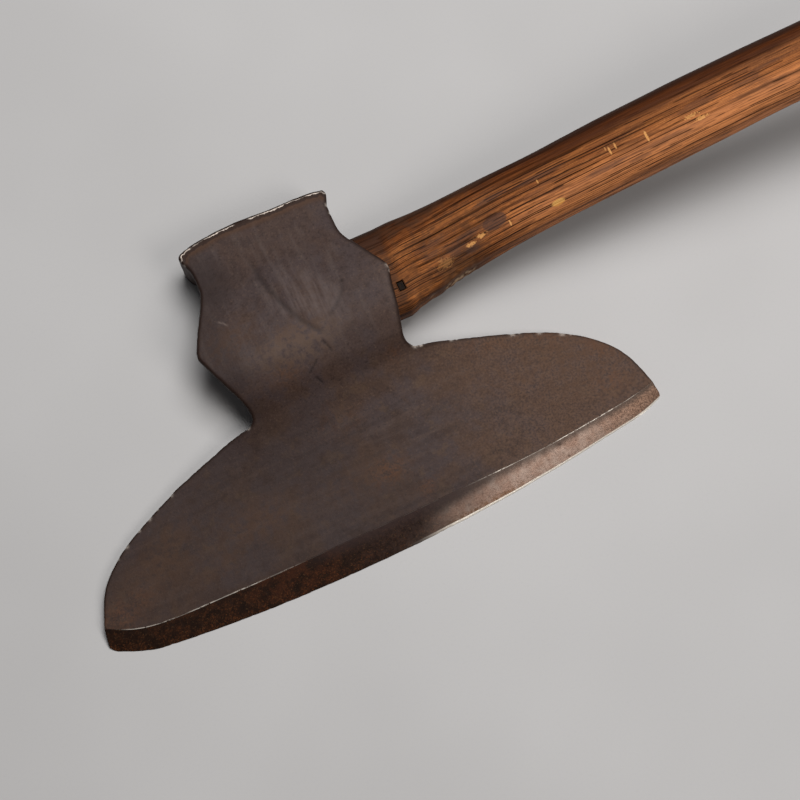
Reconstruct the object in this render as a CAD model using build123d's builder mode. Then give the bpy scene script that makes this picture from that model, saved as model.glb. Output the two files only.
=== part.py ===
from build123d import *
import os

# Broad axe (side axe) for hewing timber.  Millimetres, +Z up.
#
# The axe lies on the flat side of its head (z = 0).  The origin is near the centre
# of the eye, dropped onto that flat side.  +X runs out along the haft, +Y points to
# the poll, -Y to the cutting edge.  The swelling of the eye and the single bevel
# are on the upper side.  In names, right is +X and left is -X.

# ---- head: driving dimensions ----------------------------------------------
blank_reach = 172.0       # the untrimmed head spans this far to each side of x = 0
blank_floor = -8.0        # underside of the untrimmed head
blank_front = -160.0      # y beyond the cutting edge, where cutting regions end
blank_height = 60.0       # tall enough to pass through the whole head
station_step = 7.0        # spacing along Y of the sections lofted into the head

undercut = 0.095          # neck, ears and poll are this fraction narrower at z = 0
undercut_top = 26.0       # and reach full width this far up
undercut_start_y = -42.0  # the undercut fades in from here towards the poll
undercut_fade = 12.0
lip_start_y = 40.0        # and mostly fades out again from here, at the poll lips
lip_fade = 7.0
lip_relief = 0.85         # fraction of the undercut lost at the poll lips

tongue_back = -90.0       # how far back the laid-on steel runs under the blade
tongue_thickness = 3.0
edge_land = 0.35          # height of the ground bevel at the cutting edge
bevel_overrun = 6.0       # the bevel cutter passes the bevel by this much along Y
bevel_cutter_top = 30.0

# ---- eye -------------------------------------------------------------------
eye_width = 51.0          # along Y
eye_height = 22.0         # along Z
eye_centre = (0.8, 17.4)  # y, z
eye_radius = 8.0
eye_flare_x = -8.0        # the eye opens out from here to the wedge side (-X)
eye_straight_length = 70.0
eye_mouth_x = -62.0       # beyond the head on the wedge side
eye_flare_width = 53.0
eye_flare_height = 24.2

# ---- haft and wedges -------------------------------------------------------
haft_gap = 0.12           # fit of the haft in the eye, per side
haft_end_x = -43.0        # wedged end, inside the ear
haft_exit_x = 57.0        # the straight part of the haft ends here

wedge_width = 45.0        # wooden wedge
wedge_thick = 5.0
wedge_tip = 0.8
wedge_end_x = 12.0

iron_wedge_width = 17.0   # iron cross wedges
iron_wedge_thick = 3.6
iron_wedge_tip = 0.6
iron_wedge_end_x = -14.0
iron_wedge_y = (13.5, -11.5)

# ---- square cut nail, just outside the right ear ---------------------------
nail_place = (56.6, -11.2)
nail_top_z = eye_centre[1] + 10.6
nail_head = (3.2, 4.6)
nail_head_thick = 1.2
nail_shank = 2.4
nail_point = 1.0
nail_length = 15.0
nail_pocket_clearance = (0.6, 0.8)
nail_pocket_height = 6.0

# ---- outline of the head, seen from the bevel side: stretches of (x, y) ----
poll_line = [
    (-42.6, 54.8), (-39.6, 56.0), (-35.1, 57.1), (-30.3, 57.8), (-25.5, 58.3),
    (-20.7, 58.7), (-15.8, 58.8), (-11.0, 59.0), (-6.1, 59.0), (-1.3, 58.7),
    (3.5, 58.5), (8.3, 58.2), (13.1, 58.1), (17.9, 58.2), (22.6, 58.3), (27.4, 58.2),
    (32.2, 58.0), (37.0, 57.6), (41.4, 56.7)]
lip_right = [(41.4, 56.7), (42.2, 54.6), (41.6, 51.8), (40.2, 48.7)]
side_right = [
    (40.2, 48.7), (39.5, 43.0), (39.3, 36.0), (39.7, 29.6), (41.4, 25.2),
    (44.4, 20.0), (48.0, 13.6), (50.6, 9.0), (53.0, 4.9), (54.3, 2.3)]
ear_right = [(54.3, 2.3), (54.7, 0.3), (54.3, -2.1)]
neck_right = [(54.3, -2.1), (52.5, -9.0), (50.9, -17.0), (49.0, -26.0), (47.8, -32.0)]
corner_right = [(47.8, -32.0), (47.5, -35.0), (48.2, -38.2), (50.4, -40.2), (53.1, -41.0)]
shoulder_right = [
    (53.1, -41.0), (57.5, -41.6), (61.5, -42.2), (66.1, -43.2), (70.8, -44.4),
    (75.5, -45.7), (84.7, -48.4), (94.0, -51.3), (103.1, -54.3), (112.0, -57.7),
    (120.7, -61.4), (129.0, -66.0), (136.9, -71.5), (144.1, -77.9),
    (150.4, -85.5), (156.0, -97.3), (158.9, -109.3), (160.2, -115.4)]
toe_right = [(160.2, -115.4), (159.9, -117.2), (158.0, -118.4)]
cutting_edge = [
    (158.0, -118.4), (150.4, -121.2), (134.7, -124.0), (108.8, -127.5),
    (83.1, -130.6), (57.5, -133.0), (32.0, -134.6), (6.7, -135.6), (-18.4, -135.9),
    (-37.2, -135.8), (-55.9, -135.4), (-86.8, -134.0), (-105.3, -132.6),
    (-123.6, -130.9), (-141.8, -127.7), (-153.1, -122.8)]
toe_left = [(-153.1, -122.8), (-156.8, -120.9), (-158.6, -118.3)]
shoulder_left = [
    (-158.6, -118.3), (-157.8, -112.6), (-153.9, -100.2), (-148.2, -89.5),
    (-140.0, -81.1), (-128.8, -73.2), (-120.1, -68.7), (-111.5, -64.6),
    (-102.8, -60.7), (-94.0, -57.1), (-85.0, -54.0), (-75.7, -51.2),
    (-66.6, -48.6), (-57.3, -46.1), (-51.8, -45.2)]
corner_left = [(-51.8, -45.2), (-47.6, -44.7), (-44.9, -43.4), (-43.8, -41.6), (-43.7, -39.2)]
neck_left = [
    (-43.7, -39.2), (-44.9, -35.4), (-46.6, -30.4), (-48.6, -25.8), (-50.9, -21.0),
    (-53.4, -15.0), (-55.6, -8.8)]
ear_left = [(-55.6, -8.8), (-57.0, -5.0), (-56.6, -1.8)]
side_left = [
    (-56.6, -1.8), (-53.9, 4.1), (-51.3, 9.3), (-48.9, 13.6), (-46.7, 17.8),
    (-44.4, 22.2), (-42.5, 26.6), (-41.5, 31.5), (-41.1, 36.5), (-41.2, 40.5),
    (-41.6, 43.0)]
lip_left = [
    (-41.6, 43.0), (-42.6, 46.4), (-43.8, 49.6), (-44.3, 51.8), (-44.0, 53.4),
    (-42.6, 54.8)]
outline = [
    poll_line, lip_right, side_right, ear_right, neck_right, corner_right,
    shoulder_right, toe_right, cutting_edge, toe_left, shoulder_left, corner_left,
    neck_left, ear_left, side_left, lip_left]

# x, y of the line where the iron face stops and the ground bevel starts
bevel_line = [
    (-170.0, -103.5), (-156.1, -109.6), (-148.0, -113.6), (-138.0, -117.0),
    (-125.0, -118.9), (-100.0, -119.7), (-70.0, -120.3), (-35.0, -120.2),
    (0.0, -120.1), (35.0, -119.6), (64.0, -119.1), (90.0, -118.0),
    (110.0, -116.3), (130.0, -114.3), (149.0, -111.6), (160.0, -109.0),
    (blank_reach, -105.0)]

# x, y of the back of the steel tongue, roughly parallel to the edge
tongue_line = [
    (-blank_reach, -78.0), (-110.0, tongue_back + 2.0), (0.0, tongue_back),
    (110.0, tongue_back + 4.0), (blank_reach, -74.0)]

# ground bevel: x, y and z at the bevel line, y at the cutting edge
bevel_sections = [
    (-172.0, -102.8, 4.9, -117.0), (-156.0, -109.7, 5.0, -121.4),
    (-148.0, -113.6, 5.2, -125.4), (-138.0, -117.0, 5.4, -128.3),
    (-125.0, -118.9, 5.5, -130.4), (-100.0, -119.7, 5.8, -133.1),
    (-70.0, -120.3, 6.1, -134.9), (-35.0, -120.2, 6.45, -135.9),
    (0.0, -120.1, 6.6, -135.8), (35.0, -119.6, 6.5, -134.5),
    (64.0, -119.1, 6.2, -132.6), (90.0, -118.0, 5.9, -129.9),
    (110.0, -116.3, 5.7, -127.5), (130.0, -114.3, 5.5, -124.8),
    (149.0, -111.6, 5.2, -121.5), (160.0, -109.0, 5.05, -117.8),
    (172.0, -105.0, 4.9, -113.0)]

# upper face of the head: y station, then z at each distance in face_x from x = 0
face_x = [0.0, 25.0, 42.0, 60.0, 100.0, blank_reach]
face_height = [
    (64.0, (27.4, 27.1, 26.4, 25.6, 22.0, 16.0)),
    (50.0, (28.4, 28.1, 27.4, 26.6, 22.0, 15.0)),
    (38.0, (29.6, 29.3, 28.6, 27.6, 22.0, 14.0)),
    (20.0, (32.6, 32.3, 31.7, 30.6, 23.0, 12.0)),
    (0.0, (35.2, 34.9, 34.3, 33.0, 22.0, 10.0)),
    (-18.0, (34.0, 33.6, 32.8, 31.0, 18.0, 8.4)),
    (-32.0, (28.6, 28.0, 26.6, 23.6, 12.4, 6.8)),
    (-45.0, (18.4, 17.4, 15.2, 12.0, 8.2, 5.9)),
    (-60.0, (12.6, 12.1, 10.9, 9.2, 6.9, 5.5)),
    (-85.0, (8.6, 8.4, 8.0, 7.4, 6.2, 5.1)),
    (-120.0, (6.6, 6.5, 6.4, 6.2, 5.7, 4.8)),
    (-150.0, (5.6, 5.5, 5.4, 5.3, 5.0, 4.5)),
]

# x of the points that each section of the upper face is drawn through
half_crown_x = [0, 14, 28, 42, 54, 66, 80, 98, 120, 145, blank_reach]
crown_x = [-x for x in half_crown_x[:0:-1]] + half_crown_x

# haft sections: x, centre y, centre z, width (Y), thickness (Z), corner radius
haft_sections = [
    (haft_exit_x, 0.9, 17.4, 50.7, 21.7, 7.85),
    (64.0, 1.8, 18.6, 48.6, 22.6, 7.9),
    (76.0, 2.2, 20.4, 45.6, 24.0, 8.0),
    (92.0, 3.3, 22.5, 42.2, 25.4, 8.4),
    (115.0, 4.5, 26.8, 40.0, 26.2, 9.0),
    (140.0, 4.8, 31.8, 38.6, 26.6, 9.6),
    (172.0, 4.6, 38.8, 38.6, 26.8, 10.0),
    (204.0, 4.5, 45.4, 38.8, 26.8, 10.2),
    (250.0, 4.4, 53.2, 38.4, 26.6, 10.4),
    (310.0, 4.4, 60.6, 37.4, 26.4, 10.8),
    (380.0, 4.4, 66.6, 36.6, 26.6, 11.2),
    (450.0, 4.4, 69.8, 36.6, 27.2, 11.6),
    (510.0, 4.4, 71.4, 38.6, 28.2, 12.0),
    (550.0, 4.4, 72.0, 42.6, 30.0, 12.6),
    (574.0, 4.4, 72.2, 44.6, 31.2, 13.0),
    (586.0, 4.4, 72.2, 42.4, 29.4, 12.6),
    (590.0, 4.4, 72.2, 37.6, 24.8, 11.0),
]


def between(xs, ys, x):
    """Smooth curve through the points that never swings past them."""
    last = len(xs) - 1
    gaps = [xs[i + 1] - xs[i] for i in range(last)]
    slopes = [(ys[i + 1] - ys[i]) / gaps[i] for i in range(last)]
    tangents = [slopes[0]] + [0.0] * (last - 1) + [slopes[-1]]
    for i in range(1, last):
        if slopes[i - 1] * slopes[i] > 0:
            before = 2 * gaps[i] + gaps[i - 1]
            after = gaps[i] + 2 * gaps[i - 1]
            tangents[i] = (before + after) / (before / slopes[i - 1] + after / slopes[i])
    i = min(max(sum(1 for knot in xs if knot <= x) - 1, 0), last - 1)
    t = (x - xs[i]) / gaps[i]
    return ((1 + 2 * t) * (1 - t) ** 2 * ys[i]
            + t * (1 - t) ** 2 * gaps[i] * tangents[i]
            + t * t * (3 - 2 * t) * ys[i + 1]
            + t * t * (t - 1) * gaps[i] * tangents[i + 1])


def face_z(x, y):
    """Height of the upper face of the head above the flat side."""
    rows = face_height[::-1]
    stations = [row[0] for row in rows]
    column = [between(stations, [row[1][k] for row in rows], y)
              for k in range(len(face_x))]
    # both halves are given to the curve so that it is level at x = 0
    mirrored_x = [-v for v in face_x[:0:-1]] + face_x
    return between(mirrored_x, column[:0:-1] + column, abs(x))


def fade(y, start, length):
    """Smooth step from 0 at start to 1 at start + length."""
    t = min(max((y - start) / length, 0.0), 1.0)
    return t * t * (3 - 2 * t)


def narrowed(stretch):
    """A stretch of the outline as it is on the flat side, drawn in by the undercut."""
    return [
        (x * (1 - undercut * fade(y, undercut_start_y, undercut_fade)
              * (1 - lip_relief * fade(y, lip_start_y, lip_fade))), y)
        for x, y in stretch]


def closing_points(line):
    """Corners that close a line across the blade into a region reaching past the edge."""
    return [line[-1], (line[-1][0], blank_front), (line[0][0], blank_front), line[0]]


# ---- outline as a block: undercut towards the flat side, straight above ----
with BuildPart() as outline_block:
    for z, stretches in ((0.0, [narrowed(stretch) for stretch in outline]),
                         (undercut_top, outline)):
        with BuildSketch(Plane.XY.offset(z)):
            with BuildLine():
                for stretch in stretches:
                    Spline(*stretch)
            make_face()
    loft(ruled=True)
    with BuildSketch(Plane.XY.offset(undercut_top)):
        with BuildLine():
            for stretch in outline:
                Spline(*stretch)
        make_face()
    extrude(amount=blank_height - undercut_top)

# ---- shared blank: iron and steel as one body, cut to the outline ----------
with BuildPart() as head_blank:
    station = face_height[0][0]
    while station >= face_height[-1][0]:
        crown = [(x, face_z(x, station)) for x in crown_x]
        # Plane.XZ looks along -Y, so its offset is minus the station
        with BuildSketch(Plane.XZ.offset(-station)):
            with BuildLine():
                Spline(*crown)
                Polyline(crown[-1], (blank_reach, blank_floor),
                         (-blank_reach, blank_floor), crown[0])
            make_face()
        station -= station_step
    loft()
    add(outline_block.part, mode=Mode.INTERSECT)

# ---- hole for the haft: straight, then flared towards the wedge side -------
with BuildPart() as eye_hole:
    with BuildSketch(Plane.YZ.offset(eye_flare_x)):
        with Locations(eye_centre):
            RectangleRounded(eye_width, eye_height, eye_radius)
    extrude(amount=eye_straight_length)
    for x, width, height in ((eye_flare_x, eye_width, eye_height),
                             (eye_mouth_x, eye_flare_width, eye_flare_height)):
        with BuildSketch(Plane.YZ.offset(x)):
            with Locations(eye_centre):
                RectangleRounded(width, height, eye_radius)
    loft()

# ---- head body: forged iron with poll, eye, ears and blade -----------------
with BuildPart() as head_body:
    add(head_blank.part)
    # make room for the steel tongue, then for the bevelled edge
    for line, height in ((tongue_line, tongue_thickness), (bevel_line, blank_height)):
        with BuildSketch(Plane.XY):
            with BuildLine():
                Spline(*line)
                Polyline(*closing_points(line))
            make_face()
        extrude(amount=height, mode=Mode.SUBTRACT)
    add(eye_hole.part, mode=Mode.SUBTRACT)

# ---- steel bit: laid-on tongue with the bevelled cutting edge --------------
with BuildPart() as bevel_cutter:
    # four-sided sections whose lower side is the ground bevel
    for x, y_line, z_line, y_edge in bevel_sections:
        rise = bevel_overrun * (z_line - edge_land) / (y_line - y_edge)
        y_back = y_line + bevel_overrun
        y_front = y_edge - bevel_overrun
        with BuildSketch(Plane.YZ.offset(x)):
            with BuildLine():
                Polyline((y_back, z_line + rise), (y_front, edge_land - rise),
                         (y_front, bevel_cutter_top), (y_back, bevel_cutter_top),
                         close=True)
            make_face()
    loft()

with BuildPart() as bit_tongue:
    # the steel's bottom layer, flush with the flat side
    add(head_blank.part)
    with BuildSketch(Plane.XY):
        with BuildLine():
            Spline(*tongue_line)
            Polyline(*closing_points(tongue_line))
        make_face()
    extrude(amount=tongue_thickness, mode=Mode.INTERSECT)

with BuildPart() as steel_bit:
    # the full-height steel in front of the iron, then the tongue, then the grinding
    add(head_blank.part)
    with BuildSketch(Plane.XY):
        with BuildLine():
            Spline(*bevel_line)
            Polyline(*closing_points(bevel_line))
        make_face()
    extrude(amount=blank_height, mode=Mode.INTERSECT)
    add(bit_tongue.part)
    add(bevel_cutter.part, mode=Mode.SUBTRACT)

# ---- wedges that spread the end of the haft in the flared eye --------------
with BuildPart() as wooden_wedge:
    for x, thick in ((haft_end_x, wedge_thick), (wedge_end_x, wedge_tip)):
        with BuildSketch(Plane.YZ.offset(x)):
            with Locations(eye_centre):
                Rectangle(wedge_width, thick)
    loft()

with BuildPart() as iron_cross_wedges:
    for y in iron_wedge_y:
        for x, thick in ((haft_end_x, iron_wedge_thick), (iron_wedge_end_x, iron_wedge_tip)):
            with BuildSketch(Plane.YZ.offset(x)):
                with Locations((y, eye_centre[1])):
                    Rectangle(thick, iron_wedge_width)
        loft()

with BuildPart() as split_wedge:
    # the iron wedges are driven across the wooden one and cut into it
    add(wooden_wedge.part)
    add(iron_cross_wedges.part, mode=Mode.SUBTRACT)

# ---- square cut nail driven into the haft beside the ear -------------------
with BuildPart() as cut_nail:
    with BuildSketch(Plane.XY.offset(nail_top_z)):
        with Locations(nail_place):
            Rectangle(*nail_head)
    extrude(amount=-nail_head_thick)
    for depth, side in ((nail_head_thick, nail_shank), (nail_length, nail_point)):
        with BuildSketch(Plane.XY.offset(nail_top_z - depth)):
            with Locations(nail_place):
                Rectangle(side, side)
    loft()

# ---- haft: wedged in the eye, then rising away from the flat side ----------
fit_width = eye_width - 2 * haft_gap
fit_height = eye_height - 2 * haft_gap
fit_radius = eye_radius - haft_gap
# how far along the eye's flare the haft ends, as a fraction
flare = (eye_flare_x - haft_end_x) / (eye_flare_x - eye_mouth_x)
end_width = fit_width + flare * (eye_flare_width - eye_width)
end_height = fit_height + flare * (eye_flare_height - eye_height)

with BuildPart() as haft:
    with BuildSketch(Plane.YZ.offset(eye_flare_x)):
        with Locations(eye_centre):
            RectangleRounded(fit_width, fit_height, fit_radius)
    extrude(amount=haft_exit_x - eye_flare_x)
    # end that the wedges open out
    for x, width, height in ((eye_flare_x, fit_width, fit_height),
                             (haft_end_x, end_width, end_height)):
        with BuildSketch(Plane.YZ.offset(x)):
            with Locations(eye_centre):
                RectangleRounded(width, height, fit_radius)
    loft()
    # the grip, bent up so that the knuckles clear the log
    for x, y, z, width, thick, radius in haft_sections:
        with BuildSketch(Plane.YZ.offset(x)):
            with Locations((y, z)):
                RectangleRounded(width, thick, radius)
    loft()
    add(wooden_wedge.part, mode=Mode.SUBTRACT)
    add(iron_cross_wedges.part, mode=Mode.SUBTRACT)
    add(cut_nail.part, mode=Mode.SUBTRACT)
    # pocket that the nail head has been punched down into
    with BuildSketch(Plane.XY.offset(nail_top_z)):
        with Locations(nail_place):
            Rectangle(nail_head[0] + nail_pocket_clearance[0],
                      nail_head[1] + nail_pocket_clearance[1])
    extrude(amount=nail_pocket_height, mode=Mode.SUBTRACT)

# ---- export ----------------------------------------------------------------
os.makedirs("parts", exist_ok=True)
for name, piece in (
        ("head_body", head_body.part),
        ("steel_bit", steel_bit.part),
        ("haft", haft.part),
        ("wooden_wedge", split_wedge.part),
        ("iron_cross_wedges", iron_cross_wedges.part),
        ("cut_nail", cut_nail.part)):
    piece.label = name
    export_step(piece, f"parts/{name}.step")
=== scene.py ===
# A single-bevel axe with a wide blade, lying on its flat side at Z = 0, bevel side up.
# The poll is towards +Y and the cutting edge towards -Y. The haft fills the eye, which
# runs along X, and sticks out towards +X, rising as it goes.
# The pieces are an iron head, a steel bit, a haft, a wooden wedge, iron wedges and a nail.
import math

import bmesh
import bpy
import numpy as np
from mathutils import Matrix, Vector, kdtree
from mathutils.geometry import delaunay_2d_cdt


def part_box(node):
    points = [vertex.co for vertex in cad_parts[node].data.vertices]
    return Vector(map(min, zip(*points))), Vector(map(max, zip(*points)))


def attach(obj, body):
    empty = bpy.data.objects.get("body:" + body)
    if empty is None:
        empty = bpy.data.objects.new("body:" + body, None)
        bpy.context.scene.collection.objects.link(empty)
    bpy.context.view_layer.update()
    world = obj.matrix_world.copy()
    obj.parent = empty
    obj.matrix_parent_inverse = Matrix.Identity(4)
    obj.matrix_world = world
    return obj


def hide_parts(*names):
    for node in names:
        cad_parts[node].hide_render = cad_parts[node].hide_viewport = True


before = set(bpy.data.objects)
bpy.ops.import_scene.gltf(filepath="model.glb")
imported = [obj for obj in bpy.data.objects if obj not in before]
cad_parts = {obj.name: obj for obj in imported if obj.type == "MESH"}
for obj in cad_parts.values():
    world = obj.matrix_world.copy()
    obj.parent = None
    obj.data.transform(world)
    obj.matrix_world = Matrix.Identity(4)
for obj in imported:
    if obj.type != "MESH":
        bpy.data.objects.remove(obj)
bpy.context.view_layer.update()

MM = 0.001  # lengths are in millimetres and become metres only when Blender gets them


# ------------------------------------------------------------ noise and falloffs ----
def lattice_value(i, j, k, seed):
    h = (i * 73856093) ^ (j * 19349663) ^ (k * 83492791) ^ ((seed * 7919 + 13) * 2654435)
    h = h & 0x7FFFFFFF
    h = ((h ^ (h >> 15)) * 2246822519) & 0x7FFFFFFF
    h = ((h ^ (h >> 13)) * 3266489917) & 0x7FFFFFFF
    h = h ^ (h >> 16)
    return (h & 0xFFFFF) / float(0x7FFFF) - 1.0


def noise(points, scale, seed):
    """Smooth value noise in -1..1; scale is the feature size, one number or one per axis."""
    cell = np.asarray(points, float) / scale
    corner = np.floor(cell)
    t = cell - corner
    t = t * t * t * (t * (t * 6 - 15) + 10)
    i, j, k = (corner[:, axis].astype(np.int64) for axis in range(3))
    total = 0.0
    for a in (0, 1):
        for b in (0, 1):
            for c in (0, 1):
                weight = ((t[:, 0] if a else 1 - t[:, 0]) * (t[:, 1] if b else 1 - t[:, 1])
                          * (t[:, 2] if c else 1 - t[:, 2]))
                total = total + weight * lattice_value(i + a, j + b, k + c, seed)
    return total


def fbm(points, scale, octaves, seed):
    """Noise summed over octaves, each half the size and strength of the one before."""
    total, amp, norm = 0.0, 1.0, 0.0
    for octave in range(octaves):
        size = np.asarray(scale, float) / 2 ** octave
        total = total + amp * noise(points, size, seed + 17 * octave)
        norm += amp
        amp *= 0.5
    return total / norm


def smooth(start, end, value):
    t = np.clip((value - start) / (end - start), 0, 1)
    return t * t * (3 - 2 * t)


def bell(distance, width):
    return np.exp(-(distance / width) ** 2)


# ------------------------------------------------------------- lines and curves ----
def closed(loop):
    return np.vstack([loop, loop[:1]])


def lengths(line):
    """Distance along a polyline at each of its points."""
    return np.r_[0, np.cumsum(np.linalg.norm(np.diff(line, axis=0), axis=1))]


def line_dist(points, line):
    """Distance to a polyline, and how far along it (0..1) the nearest point is."""
    line = np.asarray(line, float)
    best = np.full(len(points), 1e9)
    along = np.zeros(len(points))
    length = lengths(line)
    for n in range(len(line) - 1):
        start, span = line[n], line[n + 1] - line[n]
        t = np.clip(((points - start) @ span) / max(span @ span, 1e-12), 0, 1)
        dist = np.linalg.norm(points - start - t[:, None] * span, axis=1)
        nearer = dist < best
        best[nearer] = dist[nearer]
        along[nearer] = (length[n] + t[nearer] * math.sqrt(span @ span)) / length[-1]
    return best, along


def curve_at(knots, values, where):
    """Natural cubic spline through values at the knots; one output row per place."""
    knots = np.asarray(knots, float)
    values = np.asarray(values, float)
    if values.ndim == 1:
        values = values[:, None]
    n, h = len(knots), np.diff(knots)
    system, target = np.zeros((n, n)), np.zeros((n, values.shape[1]))
    system[0, 0] = system[-1, -1] = 1
    for i in range(1, n - 1):
        system[i, i - 1], system[i, i], system[i, i + 1] = h[i - 1], 2 * (h[i - 1] + h[i]), h[i]
        target[i] = 6 * ((values[i + 1] - values[i]) / h[i]
                         - (values[i] - values[i - 1]) / h[i - 1])
    bend = np.linalg.solve(system, target)
    i = np.clip(np.searchsorted(knots, where, side="right") - 1, 0, n - 2)
    width = h[i][:, None]
    a = (knots[i + 1] - where)[:, None] / width
    b = (where - knots[i])[:, None] / width
    return (a * values[i] + b * values[i + 1]
            + ((a ** 3 - a) * bend[i] + (b ** 3 - b) * bend[i + 1]) * width ** 2 / 6)


def pchip(xs, ys, x):
    """Cubic through ys at xs that never swings past its points.

    ys has one column for all x, or a column of its own for each x."""
    h = np.diff(xs)[:, None]
    rise = np.diff(ys, axis=0) / h
    slope = np.zeros_like(ys)
    slope[0], slope[-1] = rise[0], rise[-1]
    w1, w2 = 2 * h[1:] + h[:-1], h[1:] + 2 * h[:-1]
    with np.errstate(divide="ignore", invalid="ignore"):
        mean = (w1 + w2) / (w1 / rise[:-1] + w2 / rise[1:])
    slope[1:-1] = np.where(rise[:-1] * rise[1:] > 0, mean, 0)

    i = np.clip(np.searchsorted(xs, x, side="right") - 1, 0, len(xs) - 2)
    h = xs[i + 1] - xs[i]
    t = (x - xs[i]) / h
    col = np.arange(len(x)) if ys.shape[1] > 1 else np.zeros(len(x), int)
    return ((1 + 2 * t) * (1 - t) ** 2 * ys[i, col] + t * (1 - t) ** 2 * h * slope[i, col]
            + t * t * (3 - 2 * t) * ys[i + 1, col] + t * t * (t - 1) * h * slope[i + 1, col])


# ------------------------------------------------------- measured shape of the head ----
STEP = 0.8       # point spacing along the outline
EDGE_LAND = 0.35  # height at which the bevel meets the edge
# (x, y) round the head, clockwise seen from +Z, from the -X end of the poll
OUTLINE = [
    [(-42.6, 54.8), (-39.6, 56.0), (-35.1, 57.1), (-30.3, 57.8), (-25.5, 58.3), (-20.7, 58.7),
     (-15.8, 58.8), (-11.0, 59.0), (-6.1, 59.0), (-1.3, 58.7), (3.5, 58.5), (8.3, 58.2),
     (13.1, 58.1), (17.9, 58.2), (22.6, 58.3), (27.4, 58.2), (32.2, 58.0), (37.0, 57.6),
     (41.4, 56.7)],
    [(41.4, 56.7), (42.2, 54.6), (41.6, 51.8), (40.2, 48.7)],
    [(40.2, 48.7), (39.5, 43.0), (39.3, 36.0), (39.7, 29.6), (41.4, 25.2), (44.4, 20.0),
     (48.0, 13.6), (50.6, 9.0), (53.0, 4.9), (54.3, 2.3)],
    [(54.3, 2.3), (54.7, 0.3), (54.3, -2.1)],
    [(54.3, -2.1), (52.5, -9.0), (50.9, -17.0), (49.0, -26.0), (47.8, -32.0)],
    [(47.8, -32.0), (47.5, -35.0), (48.2, -38.2), (50.4, -40.2), (53.1, -41.0)],
    [(53.1, -41.0), (57.5, -41.6), (61.5, -42.2), (66.1, -43.2), (70.8, -44.4), (75.5, -45.7),
     (84.7, -48.4), (94.0, -51.3), (103.1, -54.3), (112.0, -57.7), (120.7, -61.4),
     (129.0, -66.0), (136.9, -71.5), (144.1, -77.9), (150.4, -85.5), (156.0, -97.3),
     (158.9, -109.3), (160.2, -115.4)],
    [(160.2, -115.4), (159.9, -117.2), (158.0, -118.4)],
    [(158.0, -118.4), (150.4, -121.2), (134.7, -124.0), (108.8, -127.5), (83.1, -130.6),
     (57.5, -133.0), (32.0, -134.6), (6.7, -135.6), (-18.4, -135.9), (-37.2, -135.8),
     (-55.9, -135.4), (-86.8, -134.0), (-105.3, -132.6), (-123.6, -130.9), (-141.8, -127.7),
     (-153.1, -122.8)],
    [(-153.1, -122.8), (-156.8, -120.9), (-158.6, -118.3)],
    [(-158.6, -118.3), (-157.8, -112.6), (-153.9, -100.2), (-148.2, -89.5), (-140.0, -81.1),
     (-128.8, -73.2), (-120.1, -68.7), (-111.5, -64.6), (-102.8, -60.7), (-94.0, -57.1),
     (-85.0, -54.0), (-75.7, -51.2), (-66.6, -48.6), (-57.3, -46.1), (-51.8, -45.2)],
    [(-51.8, -45.2), (-47.6, -44.7), (-44.9, -43.4), (-43.8, -41.6), (-43.7, -39.2)],
    [(-43.7, -39.2), (-44.9, -35.4), (-46.6, -30.4), (-48.6, -25.8), (-50.9, -21.0),
     (-53.4, -15.0), (-55.6, -8.8)],
    [(-55.6, -8.8), (-57.0, -5.0), (-56.6, -1.8)],
    [(-56.6, -1.8), (-53.9, 4.1), (-51.3, 9.3), (-48.9, 13.6), (-46.7, 17.8), (-44.4, 22.2),
     (-42.5, 26.6), (-41.5, 31.5), (-41.1, 36.5), (-41.2, 40.5), (-41.6, 43.0)],
    [(-41.6, 43.0), (-42.6, 46.4), (-43.8, 49.6), (-44.3, 51.8), (-44.0, 53.4), (-42.6, 54.8)],
]
# (x, y) of the ridge where the bevel starts
RIDGE_LINE = np.array([
    (-170.0, -103.5), (-156.1, -109.6), (-148.0, -113.6), (-138.0, -117.0), (-125.0, -118.9),
    (-100.0, -119.7), (-70.0, -120.3), (-35.0, -120.2), (0.0, -120.1), (35.0, -119.6),
    (64.0, -119.1), (90.0, -118.0), (110.0, -116.3), (130.0, -114.3), (149.0, -111.6),
    (160.0, -109.0), (172.0, -105.0)])
# (x, y) of the hidden end of the steel tongue under the iron
TONGUE_LINE = np.array([(-172.0, -78.0), (-110.0, -88.0), (0.0, -90.0), (110.0, -86.0),
                        (172.0, -74.0)])
# (x, y) of the cutting edge
EDGE_LINE = np.array([
    (-172.0, -117.0), (-156.0, -121.4), (-148.0, -125.4), (-138.0, -128.3), (-125.0, -130.4),
    (-100.0, -133.1), (-70.0, -134.9), (-35.0, -135.9), (0.0, -135.8), (35.0, -134.5),
    (64.0, -132.6), (90.0, -129.9), (110.0, -127.5), (130.0, -124.8), (149.0, -121.5),
    (160.0, -117.8), (172.0, -113.0)])
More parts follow.
